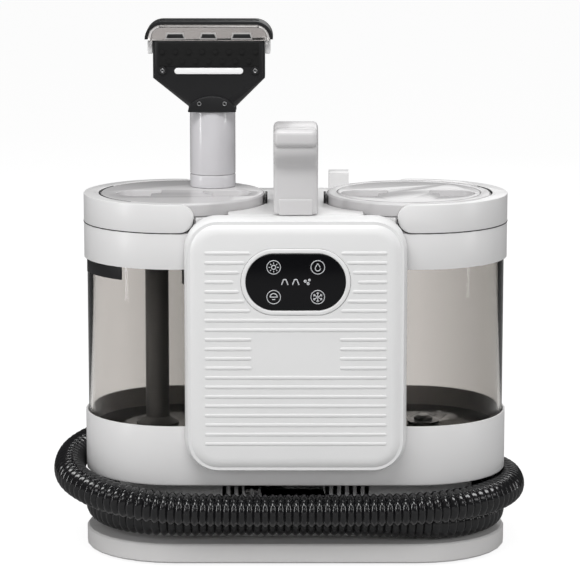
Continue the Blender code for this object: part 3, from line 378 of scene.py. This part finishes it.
route += [round_end(-1, 12, INNER_R + 1.0, 19.0), round_end(-1, 38, INNER_R + 5.0, 21.5),
          round_end(-1, 64, INNER_R + 14.0, 27.5), round_end(-1, 90, OUTER_R - 2.5, 33.5)]
route += [straight(-50.0, OUTER_R - 2.0, 34.5), straight(0.0, OUTER_R - 2.5, 34.5),
          straight(50.0, OUTER_R - 3.5, 35.2)]
route += [round_end(1, a, OUTER_R + r, z) for a, r, z in zip(TURN, SPREADS, RISES)]
route += [straight(50.0, -OUTER_R - 0.2, 32.4), straight(0.0, -OUTER_R - 0.6, 32.3),
          straight(-50.0, -OUTER_R - 0.8, 32.4)]
route += [round_end(-1, a, OUTER_R + r, z) for a, r, z in CLIMBS]
route += [straight(-62.0, CLIP_Y, 80.0), straight(-24.0, CLIP_Y, 97.0), straight(8.0, CLIP_Y, 125.0),
          straight(28.0, CLIP_Y, 160.0), straight(36.5, CLIP_Y, 195.0),
          Vector((CLIP_X, CLIP_Y, CUFF_LOW)) * MM]


def through(points, steps):
    """A smooth curve through the points; both ends are kept."""
    path = [Vector(p) for p in points]
    path = [2 * path[0] - path[1]] + path + [2 * path[-1] - path[-2]]
    result = []
    for k in range(1, len(path) - 2):
        before, here, there, after = path[k - 1:k + 3]
        for i in range(steps):
            t = i / steps
            result.append(0.5 * (2 * here + (there - before) * t
                                 + (2 * before - 5 * here + 4 * there - after) * t ** 2
                                 + (3 * here - before - 3 * there + after) * t ** 3))
    result.append(path[-2])
    return result


def evenly(points, step):
    """The same line with its points an equal step apart, and its length."""
    run = [0.0]
    for before, here in zip(points, points[1:]):
        run.append(run[-1] + (here - before).length)
    count = round(run[-1] / step)
    result = []
    k = 0
    for i in range(count + 1):
        goal = run[-1] * i / count
        while k < len(points) - 2 and run[k + 1] < goal:
            k += 1
        result.append(points[k].lerp(points[k + 1], (goal - run[k]) / (run[k + 1] - run[k])))
    return result, run[-1]


RIB_PITCH = 0.0065
RINGS_PER_RIB = 6
hose_line, hose_length = evenly(through(route, 16), RIB_PITCH / RINGS_PER_RIB)
print("hose length", round(hose_length, 3), "rings", len(hose_line))

# %% The ribbed tube
RIB_DEPTH = 0.0021
HOSE_SIDES = 24


def rib_radius(index):
    """Radius of a ring: a broad round rib and a narrow valley."""
    wave = 0.5 - 0.5 * cos(2.0 * pi * index / RINGS_PER_RIB)
    return HOSE_R - RIB_DEPTH * (1.0 - wave ** 0.6)


def ribbed_tube(name, line):
    bm = bmesh.new()
    rings = []
    side = Vector((0.0, 0.0, 1.0))
    for k, point in enumerate(line):
        ahead = (line[min(k + 1, len(line) - 1)] - line[max(k - 1, 0)]).normalized()
        side = (side - ahead * side.dot(ahead)).normalized()
        other = ahead.cross(side)
        r = rib_radius(k)
        rings.append([bm.verts.new(point + r * (side * cos(t) + other * sin(t)))
                      for t in [2.0 * pi * i / HOSE_SIDES for i in range(HOSE_SIDES)]])
    for low, high in zip(rings, rings[1:]):
        for i in range(HOSE_SIDES):
            j = (i + 1) % HOSE_SIDES
            bm.faces.new((low[i], low[j], high[j], high[i]))
    bm.faces.new(list(reversed(rings[0])))
    bm.faces.new(rings[-1])
    bmesh.ops.recalc_face_normals(bm, faces=bm.faces)
    mesh = bpy.data.meshes.new(name)
    bm.to_mesh(mesh)
    bm.free()
    obj = bpy.data.objects.new(name, mesh)
    bpy.context.scene.collection.objects.link(obj)
    return obj


hose = smooth(ribbed_tube("suction_hose", hose_line), 70.0)
finish_piece(hose, "root", HOSE_BLACK, "hose_black", "hose")
cuff = refined("hose_cuff", MOULD_BLACK_AND_PAINTED_SHADE, 0.0008)

# %% [markdown]
# ## Casings and covers
# These mouldings already have the right shape in the working model. A copy of each gets its triangles joined
# into whole faces and its edges rounded, because a real moulding has no knife edges and the rounded edge is what
# catches the light.

# %% Casings with rounded edges
for node, mat, width in (
        ("plinth", PLINTH_WHITE, 0.0010), ("hose_core", BODY_WHITE, 0.0004), ("lower_housing", BODY_WHITE, 0.0007),
        ("tower_housing", BODY_WHITE, 0.0008), ("rear_cover", BODY_WHITE, 0.0005), ("deck", BODY_WHITE, 0.0008),
        ("dirty_tank_collar", BODY_WHITE, 0.0007), ("clean_tank_collar", BODY_WHITE, 0.0007),
        ("dirty_handle", BODY_WHITE, 0.0016), ("clean_handle", BODY_WHITE, 0.0016),
        ("dirty_lid", LID_WHITE, 0.0008), ("clean_lid", LID_WHITE, 0.0006), ("fill_cap", LID_WHITE, 0.0006),
        ("carry_handle", HANDLE_WHITE, 0.0006), ("hose_clip", BODY_WHITE, 0.0006),
        ("wand_dock", TUBE_WHITE, 0.0005), ("wand_tube", TUBE_WHITE, 0.0006),
        ("nozzle_body", NOZZLE_BLACK, 0.0009), ("nozzle_strip", NOZZLE_BLACK, 0.0007),
        ("nozzle_window", LIP_CLEAR, 0.0004), ("nozzle_clip_left", BODY_WHITE, 0.0008),
        ("nozzle_clip_right", BODY_WHITE, 0.0008), ("nozzle_light_strip", LIGHT_BAR, 0.0004),
        ("dirty_tank_cup", SMOKED_LEFT, 0.0006), ("clean_tank_cup", SMOKED_RIGHT, 0.0006),
        ("hose_port", MOULD_BLACK_AND_PAINTED_SHADE, 0.0008), ("mains_inlet", MOULD_BLACK_AND_PAINTED_SHADE, 0.0006),
        ("dirty_standpipe", PIPE_DARK, 0.0005), ("dirty_pour_spout", MOULD_BLACK_AND_PAINTED_SHADE, 0.0004),
        ("panel_carrier", MOULD_BLACK_AND_PAINTED_SHADE, 0.0004), ("float_guide", MOULD_BLACK_AND_PAINTED_SHADE, 0.0),
        ("shutoff_float", FLOAT, 0.0006), ("water_pump", MOULD_BLACK_AND_PAINTED_SHADE, 0.0006)):
    refined(node, mat, width)
for index in range(1, 5):
    refined(f"foot_{index}", RUBBER, 0.0006)

# %% [markdown]
# ## The front panel
# The panel is one soft plate with a quarter-round edge all round. Low ribs run across it, broken round the
# display and round a plain field under it. The plate starts as a slab whose corner edges are bevelled first and
# its front edge second; the ribs are copied from one rounded bar and joined to it.

# %% The soft plate
PANEL_LOW, PANEL_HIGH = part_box("front_panel")
WINDOW_LOW, WINDOW_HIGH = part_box("display_window")
PANEL_X = PANEL_HIGH.x
RIB_PROUD = 0.0008
PLATE_FACE = PANEL_LOW.y + RIB_PROUD
PANEL_CORNER = 0.028
PANEL_SOFT = 0.014
PANEL_WALL = 0.003
WINDOW_Z = (WINDOW_LOW.z + WINDOW_HIGH.z) / 2
WINDOW_R = (WINDOW_HIGH.z - WINDOW_LOW.z) / 2
WINDOW_X = WINDOW_HIGH.x
BEZEL_BAND = 0.004


def select_edges(obj, wanted):
    """Go into edit mode with only the edges selected whose two ends pass the test."""
    only(obj)
    bpy.ops.object.mode_set(mode="EDIT")
    bpy.ops.mesh.select_mode(type="EDGE")
    bpy.ops.mesh.select_all(action="DESELECT")
    bpy.ops.object.mode_set(mode="OBJECT")
    for edge in obj.data.edges:
        ends = [obj.data.vertices[k].co for k in edge.vertices]
        edge.select = wanted(*ends)
    bpy.ops.object.mode_set(mode="EDIT")


def stadium_bar(name, half, r, z, y0, y1, x=0.0, sides=48):
    """A bar along Y whose front view has two round ends: a cylinder pulled apart at its middle."""
    bpy.ops.mesh.primitive_cylinder_add(vertices=sides, radius=r, depth=abs(y1 - y0),
                                        location=(x, (y0 + y1) / 2, z), rotation=(pi / 2, 0.0, 0.0))
    bar = settle(bpy.context.object, name)
    for vertex in bar.data.vertices:
        away = vertex.co.x - x
        if abs(away) > r * 0.01:
            vertex.co.x += (half - r) * (1 if away > 0 else -1)
    return bar


def joined(first, others):
    only(first)
    for other in others:
        other.select_set(True)
    bpy.ops.object.join()
    return first


panel = slab("front_panel_fine", (-PANEL_X, PANEL_X), (PLATE_FACE, PANEL_HIGH.y), (PANEL_LOW.z, PANEL_HIGH.z))
select_edges(panel, lambda a, b: abs(a.y - b.y) > 0.001)
bpy.ops.mesh.bevel(offset=PANEL_CORNER, offset_type="OFFSET", segments=10, affect="EDGES")
bpy.ops.object.mode_set(mode="OBJECT")
select_edges(panel, lambda a, b: a.y < PLATE_FACE + 0.0001 and b.y < PLATE_FACE + 0.0001)
bpy.ops.mesh.bevel(offset=PANEL_SOFT, offset_type="OFFSET", segments=8, affect="EDGES")
bpy.ops.object.mode_set(mode="OBJECT")
select_faces(panel, lambda c, n: n.y > 0.9 and c.y > PANEL_HIGH.y - 0.0001)
bpy.ops.object.mode_set(mode="EDIT")
bpy.ops.mesh.inset(thickness=PANEL_WALL)
hollow = PLATE_FACE + PANEL_WALL - PANEL_HIGH.y
bpy.ops.mesh.extrude_region_move(TRANSFORM_OT_translate={"value": (0.0, hollow, 0.0)})
bpy.ops.object.mode_set(mode="OBJECT")
opening = stadium_bar("opening", WINDOW_X + BEZEL_BAND + 0.0003, WINDOW_R + BEZEL_BAND + 0.0003, WINDOW_Z,
                      PLATE_FACE - 0.002, PLATE_FACE + 0.008)
boolean(panel, opening, "DIFFERENCE")
print("panel faces", len(panel.data.polygons))

# %% The ribs
RIB_COUNT = 21
RIB_STEP = 0.008
RIB_TOP = PANEL_HIGH.z - 0.0285
RIB_X = PANEL_X - 0.017
RIB_R = 0.0014
MARK_X = 0.0365


def rib_gap(index):
    """Half width of the break in a rib, or None for a full rib."""
    if index < 7:
        return WINDOW_X + 0.0103 - 0.0046 * abs(index - 3)
    return MARK_X if 9 <= index <= 12 else None


ribs = []
for index in range(RIB_COUNT):
    gap = rib_gap(index)
    spans = [(-RIB_X, RIB_X)] if gap is None else [(-RIB_X, -gap), (gap, RIB_X)]
    for x0, x1 in spans:
        rib = stadium_bar("rib", (x1 - x0) / 2, RIB_R, RIB_TOP - RIB_STEP * index, PLATE_FACE - 0.00062,
                          PLATE_FACE + 0.001, x=(x0 + x1) / 2, sides=12)
        ribs.append(soften(rib, 0.0005, 2))
ribs = joined(ribs[0], ribs[1:])
boolean(panel, ribs, "UNION")
smooth(panel, 30.0)
finish_piece(panel, "root", PANEL_WHITE, "panel_white", "front_panel")
print("ribs joined, faces", len(panel.data.polygons))

# %% [markdown]
# ## The display
# A raised band frames a gloss black window. The window carries four round touch marks, a sun, a drop, a lamp
# and a snowflake, and three small mode marks, all plain signs made from thin raised lines.

# %% Band and window
band = stadium_bar("display_band", WINDOW_X + BEZEL_BAND, WINDOW_R + BEZEL_BAND, WINDOW_Z,
                   PLATE_FACE - 0.0007, PLATE_FACE + 0.004, sides=64)
hole = stadium_bar("hole", WINDOW_X + 0.0003, WINDOW_R + 0.0003, WINDOW_Z, PLATE_FACE - 0.003,
                   PLATE_FACE + 0.006, sides=64)
boolean(band, hole, "DIFFERENCE")
soften(band, 0.0008, 4)
finish_piece(band, "root", PANEL_WHITE, "panel_white", "display_bezel")
window = stadium_bar("display_glass", WINDOW_X, WINDOW_R, WINDOW_Z, PLATE_FACE - 0.0004,
                     PLATE_FACE + 0.003, sides=64)
soften(window, 0.0006, 4)
finish_piece(window, "root", DISPLAY, "display_black", "display_window")

# %% Marks on the window
MARK_Y = PLATE_FACE - 0.00045
LINE = 0.00034


def ring(x, z, r, line=LINE, start=0.0, end=360.0):
    """A thin round line; a part of a circle is cut from the whole one by its angles."""
    bpy.ops.mesh.primitive_torus_add(location=(x, MARK_Y, z), rotation=(pi / 2, 0.0, 0.0), major_radius=r,
                                     minor_radius=line, major_segments=40, minor_segments=8)
    obj = settle(bpy.context.object, "mark_ring")
    if end - start < 360.0:
        def outside(c, n):
            turn = degrees(atan2(c.z - z, c.x - x)) % 360.0
            return not start <= turn <= end
        select_faces(obj, outside)
        bpy.ops.object.mode_set(mode="EDIT")
        bpy.ops.mesh.delete(type="FACE")
        bpy.ops.mesh.select_all(action="SELECT")
        bpy.ops.mesh.select_mode(type="EDGE")
        bpy.ops.mesh.region_to_loop()
        bpy.ops.mesh.edge_face_add()
        bpy.ops.object.mode_set(mode="OBJECT")
    return obj


def stroke(x0, z0, x1, z1, line=LINE):
    """A thin straight line between two points of the window."""
    a = Vector((x0, MARK_Y, z0))
    b = Vector((x1, MARK_Y, z1))
    turn = (b - a).to_track_quat("Z", "Y").to_euler()
    bpy.ops.mesh.primitive_cylinder_add(vertices=10, radius=line, depth=(b - a).length, location=(a + b) / 2,
                                        rotation=turn)
    return settle(bpy.context.object, "mark_stroke")


def star(x, z, near, far, count, line=LINE, first=0.0):
    lines = []
    for k in range(count):
        t = first + 2 * pi * k / count
        lines.append(stroke(x + near * cos(t), z + near * sin(t), x + far * cos(t), z + far * sin(t), line))
    return lines


KEY_X = 0.0181
KEY_Z = 0.0124
KEY_R = 0.0056
marks = []
for sx, sz in ((-1, 1), (1, 1), (-1, -1), (1, -1)):
    x, z = sx * KEY_X, WINDOW_Z + sz * KEY_Z
    marks.append(ring(x, z, KEY_R))
    if (sx, sz) == (-1, 1):
        marks += [ring(x, z, 0.0017, 0.0004)] + star(x, z, 0.0028, 0.0041, 8)
    elif (sx, sz) == (1, 1):
        marks += [ring(x, z - 0.0009, 0.0021, 0.0004, 150.0, 390.0), stroke(x - 0.0019, z, x, z + 0.0032),
                  stroke(x + 0.0019, z, x, z + 0.0032)]
    elif (sx, sz) == (-1, -1):
        marks += [ring(x, z, 0.0030, 0.0004, 0.0, 180.0), stroke(x - 0.0032, z, x + 0.0032, z, 0.0004),
                  stroke(x - 0.0013, z - 0.0020, x + 0.0013, z - 0.0020, 0.0004)]
    else:
        marks += star(x, z, 0.0004, 0.0042, 6, first=pi / 6)
        for k in range(6):
            t = pi / 6 + pi * k / 3
            tip = (x + 0.0027 * cos(t), z + 0.0027 * sin(t))
            marks += [stroke(*tip, tip[0] + 0.0013 * cos(t + w), tip[1] + 0.0013 * sin(t + w))
                      for w in (-0.9, 0.9)]
for x in (-0.0090, 0.0):
    marks += [stroke(x - 0.0026, WINDOW_Z - 0.0022, x - 0.0010, WINDOW_Z + 0.0022, 0.0005),
              stroke(x + 0.0026, WINDOW_Z - 0.0022, x + 0.0010, WINDOW_Z + 0.0022, 0.0005),
              stroke(x - 0.0012, WINDOW_Z + 0.0022, x + 0.0012, WINDOW_Z + 0.0022, 0.0005)]
for dx, dz, r in ((0.0078, 0.0008, 0.0008), (0.0102, -0.0012, 0.0008), (0.0112, 0.0018, 0.0006)):
    marks.append(ring(dx, WINDOW_Z + dz, r, 0.0005))
marks = joined(marks[0], marks[1:])
smooth(marks, 60.0)
marks.name = "display_marks"
finish_piece(marks, "root", MARKS, "display_black")
print("marks faces", len(marks.data.polygons))

# %% [markdown]
# ## Small pieces the working model leaves out
# A thin dark sheet lies in each tank's well as painted shade, so a tank looks dark at its floor. The clear lip has
# three dark slots moulded in its front, and two more screws hold the nozzle to a raised plate on its neck.

# %% Dark sheets of painted shade in the wells
for label, node in (("left", "dirty_tank_cup"), ("right", "clean_tank_cup")):
    cup_low, cup_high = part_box(node)
    shade_sheet = slab(f"well_pad_{label}", (cup_low.x + 0.001, cup_high.x - 0.001),
               (cup_low.y + 0.001, cup_high.y - 0.001),
               (cup_low.z - 0.0009, cup_low.z - 0.0002))
    side = -1 if label == "left" else 1
    round_shape = rod("round", (side * END_X * MM, 0.0, cup_low.z), (cup_high.y - 0.0012), 0.02, sides=96)
    boolean(shade_sheet, round_shape, "INTERSECT")
    soften(shade_sheet, 0.0002, 2)
    finish_piece(shade_sheet, "root", WELL_PAINTED_SHADE, "moulded_black")

# %% Slots in the clear lip
LIP_LOW, LIP_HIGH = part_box("nozzle_window")
LIP_X = (LIP_LOW.x + LIP_HIGH.x) / 2
SLOT_Z = (LIP_LOW.z + 0.0022, LIP_LOW.z + 0.0056)
for label, x0, x1 in (("left", -0.036, -0.021), ("middle", -0.0066, 0.0060), ("right", 0.020, 0.036)):
    for kind, grow, depth, mat, slot in (("frame", 0.0012, 0.0005, LIP_GREY, "lip_clear"),
                                         ("dark", 0.0, 0.0008, NOZZLE_BLACK, "nozzle_black")):
        piece = slab(f"lip_{kind}_{label}", (LIP_X + x0 - grow, LIP_X + x1 + grow),
                     (LIP_LOW.y - depth, LIP_LOW.y + 0.0004), (SLOT_Z[0] - grow, SLOT_Z[1] + grow))
        for vertex in piece.data.vertices:
            if vertex.co.z > SLOT_Z[1]:
                vertex.co.x += 0.0013 if vertex.co.x < LIP_X + (x0 + x1) / 2 else -0.0013
        soften(piece, 0.0003, 2)
        finish_piece(piece, "wand", mat, slot)

# %% Neck plate and its screws
TUBE_LOW, TUBE_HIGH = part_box("wand_tube")
TUBE_X = (TUBE_LOW.x + TUBE_HIGH.x) / 2
TUBE_Y = (TUBE_LOW.y + TUBE_HIGH.y) / 2
TUBE_R = (TUBE_HIGH.x - TUBE_LOW.x) / 2
NECK_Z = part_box("nozzle_body")[0].z
NECK_Y = TUBE_Y - TUBE_R - 0.0022
PLATE_DEPTH = 0.006
PLATE_RISE = 0.0136
bpy.ops.mesh.primitive_cylinder_add(vertices=64, radius=1.0, depth=PLATE_DEPTH,
                                    location=(TUBE_X, NECK_Y + PLATE_DEPTH / 2, NECK_Z),
                                    rotation=(pi / 2, 0.0, 0.0))
plate = settle(bpy.context.object, "neck_plate")
for vertex in plate.data.vertices:
    vertex.co.x = TUBE_X + (vertex.co.x - TUBE_X) * (TUBE_R + 0.001)
    vertex.co.z = NECK_Z + (vertex.co.z - NECK_Z) * PLATE_RISE
only(plate)
bpy.ops.object.mode_set(mode="EDIT")
bpy.ops.mesh.select_all(action="SELECT")
bpy.ops.mesh.bisect(plane_co=(0.0, 0.0, NECK_Z), plane_no=(0.0, 0.0, 1.0), use_fill=True, clear_inner=True)
bpy.ops.object.mode_set(mode="OBJECT")
soften(plate, 0.0008, 3)
finish_piece(plate, "wand", NOZZLE_BLACK, "nozzle_black")
for label, side in (("left", -1), ("right", 1)):
    x = TUBE_X + side * 0.0108
    spot = rod(f"neck_screw_{label}", (x, NECK_Y + 0.0002, NECK_Z + 0.0073), 0.0018, 0.0014, "Y", 24)
    select_faces(spot, lambda c, n: n.y < -0.9)
    bpy.ops.object.mode_set(mode="EDIT")
    bpy.ops.mesh.inset(thickness=0.0006)
    bpy.ops.mesh.extrude_region_move(TRANSFORM_OT_translate={"value": (0.0, 0.0006, 0.0)})
    bpy.ops.object.mode_set(mode="OBJECT")
    soften(spot, 0.0002, 2)
    finish_piece(spot, "wand", STEEL, "bare_steel")

# %% Rings round the nozzle's screws: a dark ring of painted shade for each sunk recess, and a steel ring
SCREW_LOW, SCREW_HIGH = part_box("nozzle_screw_left")
SCREW_Z = (SCREW_LOW.z + SCREW_HIGH.z) / 2
SCREW_AWAY = LIP_X - (SCREW_LOW.x + SCREW_HIGH.x) / 2
for label, side in (("left", -1), ("right", 1)):
    # The dark rim ring is painted shade standing for the recess round each screw.
    for kind, r, line, mat in (("rim_shade", 0.0029, 0.0006, MOULD_BLACK_AND_PAINTED_SHADE), ("socket", 0.0014, 0.0004, STEEL)):
        bpy.ops.mesh.primitive_torus_add(location=(LIP_X + side * SCREW_AWAY, SCREW_LOW.y, SCREW_Z),
                                         rotation=(pi / 2, 0.0, 0.0), major_radius=r, minor_radius=line,
                                         major_segments=36, minor_segments=10)
        finish_piece(smooth(settle(bpy.context.object, f"screw_{kind}_{label}")), "wand", mat, "bare_steel")

# %% [markdown]
# ## Painted shadow in the seams
# A swinging handle, a lifting lid and a fixed deck leave narrow gaps. The shadow in each gap is painted by a thin
# dark
# line that sits in its mouth: half a ring under each swinging handle, a quarter turn round its inboard end, an arc
# round each lid and a short bar where the lids meet the middle.

# %% Painted shadow in the seams
GAP_SHADE_LINE = 0.0004
GAP_SHADE_PROUD = 0.0002


def gap_shade_arc(name, centre, r, line, upright, start, end, body):
    """Part of a dark ring painted as gap shadow, lying flat or upright, from the start angle to the end angle."""
    turn = (pi / 2, 0.0, 0.0) if upright else (0.0, 0.0, 0.0)
    bpy.ops.mesh.primitive_torus_add(location=centre, rotation=turn, major_radius=r, minor_radius=line,
                                     major_segments=120, minor_segments=8)
    arc = settle(bpy.context.object, name)

    def outside(c, n):
        rise = c.z - centre[2] if upright else c.y - centre[1]
        return not start <= degrees(atan2(rise, c.x - centre[0])) % 360.0 <= end
    select_faces(arc, outside)
    bpy.ops.object.mode_set(mode="EDIT")
    bpy.ops.mesh.delete(type="FACE")
    bpy.ops.object.mode_set(mode="OBJECT")
    return finish_piece(smooth(arc), body, MOULD_BLACK_AND_PAINTED_SHADE, "moulded_black")


for side, tank, lid in ((-1, "dirty", "dirty_tank"), (1, "clean", "clean_tank")):
    bail_low, bail_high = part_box(f"{tank}_handle")
    lid_low, lid_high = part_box(f"{tank}_lid")
    body = body_of_node[f"{tank}_tank_collar"]
    bail_r = bail_high.y
    tip_r = (bail_high.z - bail_low.z) / 2
    tip_x = side * (min(abs(bail_low.x), abs(bail_high.x)) + tip_r)
    middle = (bail_low.z + bail_high.z) / 2
    half = (90.0, 270.0) if side < 0 else (0.0, 90.0)
    under = (side * END_X * MM, 0.0, bail_low.z - 0.0002)
    gap_shade_arc(f"{tank}_bail_gap_shade", under, bail_r - GAP_SHADE_PROUD, GAP_SHADE_LINE, False, *half, body)
    if side > 0:
        gap_shade_arc(f"{tank}_bail_seam_front", under, bail_r - GAP_SHADE_PROUD, GAP_SHADE_LINE, False, 270.0, 360.0, body)
    flat_middle = ((tip_x + under[0]) / 2, -bail_r + GAP_SHADE_PROUD, under[2])
    straight_gap_shade = rod(f"{tank}_bail_seam_flat", flat_middle, GAP_SHADE_LINE, abs(under[0] - tip_x), "X", 12)
    finish_piece(smooth(straight_gap_shade), body, MOULD_BLACK_AND_PAINTED_SHADE, "moulded_black")
    tip = (270.0, 360.0) if side < 0 else (180.0, 270.0)
    gap_shade_arc(f"{tank}_bail_tip_gap_shade", (tip_x, -bail_r + 0.0003, middle), tip_r + GAP_SHADE_PROUD, GAP_SHADE_LINE, True, *tip,
             body)
    lid_r = lid_high.y
    rim_shade = (150.0, 235.0) if side < 0 else (0.0, 30.0)
    lid_x = side * (abs(lid_low.x + lid_high.x) / 2)
    gap_shade_arc(f"{tank}_lid_gap_shade", (lid_x, 0.0, lid_high.z - 0.0006), lid_r + 0.0002, 0.0006, False, *rim_shade,
             body_of_node[f"{tank}_lid"])
    inner_x = min(abs(lid_low.x), abs(lid_high.x)) - 0.0012
    # A dark bar painted as the shadow in the slot where each lid meets the middle.
    bar = slab(f"{tank}_lid_slot_shade", (side * inner_x - 0.0009, side * inner_x + 0.0009), (-0.016, 0.006),
               (lid_high.z - 0.0079, lid_high.z - 0.0006))
    finish_piece(soften(bar, 0.0004, 2), "root", MOULD_BLACK_AND_PAINTED_SHADE, "moulded_black")

# %% [markdown]
# ## The carry handle's relief
# The grip ends in a nose that overhangs the strap, and the strap stands on a raised foot.

# %% Nose and foot
GRIP_LOW, GRIP_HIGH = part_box("carry_handle")
GRIP_X = GRIP_HIGH.x
nose = slab("grip_nose", (-GRIP_X + 0.0003, GRIP_X - 0.0003), (GRIP_LOW.y - 0.0035, GRIP_LOW.y + 0.016),
            (GRIP_HIGH.z - 0.0155, GRIP_HIGH.z - 0.0005))
soften(nose, 0.0048, 6)
finish_piece(nose, "root", HANDLE_WHITE, "body_white")
foot = slab("grip_foot", (-GRIP_X + 0.0045, GRIP_X - 0.0045), (-0.0848, -0.0830),
            (GRIP_LOW.z + 0.0002, GRIP_LOW.z + 0.0135))
soften(foot, 0.0009, 3)
finish_piece(foot, "root", HANDLE_WHITE, "body_white")
print("seams and relief made")

# %% [markdown]
# ## Pieces that keep their own shape
# Hidden and very small pieces stay as they are and only take a finish.

# %% Finishes on the pieces that stay
STAY = {
    "bristle_pad": RUBBER, "dirty_lid_seal": RUBBER, "clean_lid_seal": RUBBER, "motor_mount": RUBBER,
    "control_board": BOARD,
    "dirty_handle_pin_front": BODY_WHITE, "dirty_handle_pin_rear": BODY_WHITE, "clean_handle_pin_front": BODY_WHITE,
    "clean_handle_pin_rear": BODY_WHITE, "clean_valve_seat": DARK_STEEL, "clean_valve_plunger": DARK_STEEL,
    "nozzle_screw_left": DARK_STEEL, "nozzle_screw_right": DARK_STEEL, "vacuum_motor": STEEL, "motor_shaft": STEEL,
    "impeller": MOULD_BLACK_AND_PAINTED_SHADE, "fan_shroud": MOULD_BLACK_AND_PAINTED_SHADE,
}
for node, mat in STAY.items():
    obj = frame["nodes"][node]
    if obj.material_slots:
        obj.material_slots[0].material = mat
    else:
        obj.data.materials.append(mat)

# %% [markdown]
# ## Light and floor
# A soft key from above shades the ribs, thin strips above and at both sides draw highlights on the gloss black
# hose, and two fills lift the rest. The floor looks white but throws back only a mid grey.

# %% Studio


SKY_DIFFUSE = 0.34
SKY_GLOSSY = 0.12


def area_light(name, location, size, power, aim=(0.0, 0.0, 0.2)):
    bpy.ops.object.light_add(type="AREA", location=location)
    lamp = bpy.context.object
    lamp.name = name
    lamp.data.shape = "RECTANGLE"
    lamp.data.size, lamp.data.size_y = size
    lamp.data.energy = power
    lamp.rotation_euler = (Vector(aim) - Vector(location)).to_track_quat("-Z", "Y").to_euler()
    return lamp


scene = bpy.context.scene
scene.view_settings.view_transform = "Standard"
world = bpy.data.worlds.new("studio")
scene.world = world
world.use_nodes = True
tree = world.node_tree
background = tree.nodes["Background"]
background.inputs["Color"].default_value = (1.0, 1.0, 1.0, 1.0)
path_kind = tree.nodes.new("ShaderNodeLightPath")
seen = tree.nodes.new("ShaderNodeMath")
seen.operation = "MAXIMUM"
tree.links.new(path_kind.outputs["Is Camera Ray"], seen.inputs[0])
tree.links.new(path_kind.outputs["Is Transmission Ray"], seen.inputs[1])
dim = tree.nodes.new("ShaderNodeMapRange")
dim.inputs["To Min"].default_value = SKY_DIFFUSE
dim.inputs["To Max"].default_value = SKY_GLOSSY
tree.links.new(path_kind.outputs["Is Glossy Ray"], dim.inputs["Value"])
level = tree.nodes.new("ShaderNodeMix")
tree.links.new(seen.outputs["Value"], level.inputs["Factor"])
tree.links.new(dim.outputs["Result"], level.inputs["A"])
level.inputs["B"].default_value = 1.0
tree.links.new(level.outputs["Result"], background.inputs["Strength"])
area_light("key", (-0.3, -1.3, 1.9), (1.5, 0.5), 24.0)
area_light("top_strip", (0.0, -0.2, 1.8), (1.3, 0.10), 6.0)
area_light("left_strip", (-1.9, -0.9, 0.7), (0.18, 1.3), 9.0)
area_light("right_strip", (1.9, -0.7, 0.7), (0.16, 1.3), 6.0)
area_light("front_soft", (0.4, -2.6, 1.2), (1.6, 0.5), 7.0)
area_light("rear_fill", (0.6, 2.0, 1.1), (1.4, 1.0), 6.0)


def floor_finish():
    """White where it is seen, directly or through the tanks, and a mid grey for the light it throws back."""
    mat = bpy.data.materials.new("studio_floor_white")
    mat.use_nodes = True
    tree = mat.node_tree
    shader = tree.nodes["Principled BSDF"]
    shader.inputs["Roughness"].default_value = 0.9
    shader.inputs["Specular IOR Level"].default_value = 0.0
    shader.inputs["Base Color"].default_value = (0.20, 0.20, 0.20, 1.0)
    shader.inputs["Emission Color"].default_value = (1.0, 1.0, 1.0, 1.0)
    shader.inputs["Emission Strength"].default_value = FLOOR_GLOW
    grey = tree.nodes.new("ShaderNodeBsdfDiffuse")
    grey.inputs["Color"].default_value = (0.42, 0.42, 0.42, 1.0)
    kind = tree.nodes.new("ShaderNodeLightPath")
    visible = tree.nodes.new("ShaderNodeMath")
    visible.operation = "MAXIMUM"
    tree.links.new(kind.outputs["Is Camera Ray"], visible.inputs[0])
    tree.links.new(kind.outputs["Is Transmission Ray"], visible.inputs[1])
    blend = tree.nodes.new("ShaderNodeMixShader")
    tree.links.new(visible.outputs["Value"], blend.inputs["Fac"])
    tree.links.new(grey.outputs["BSDF"], blend.inputs[1])
    tree.links.new(shader.outputs["BSDF"], blend.inputs[2])
    tree.links.new(blend.outputs["Shader"], tree.nodes["Material Output"].inputs["Surface"])
    return mat


FLOOR_GLOW = 0.90
bpy.ops.mesh.primitive_plane_add(size=12.0, location=(0.0, 0.0, -0.0005))
floor = settle(bpy.context.object, "studio_floor")
floor.data.materials.append(floor_finish())
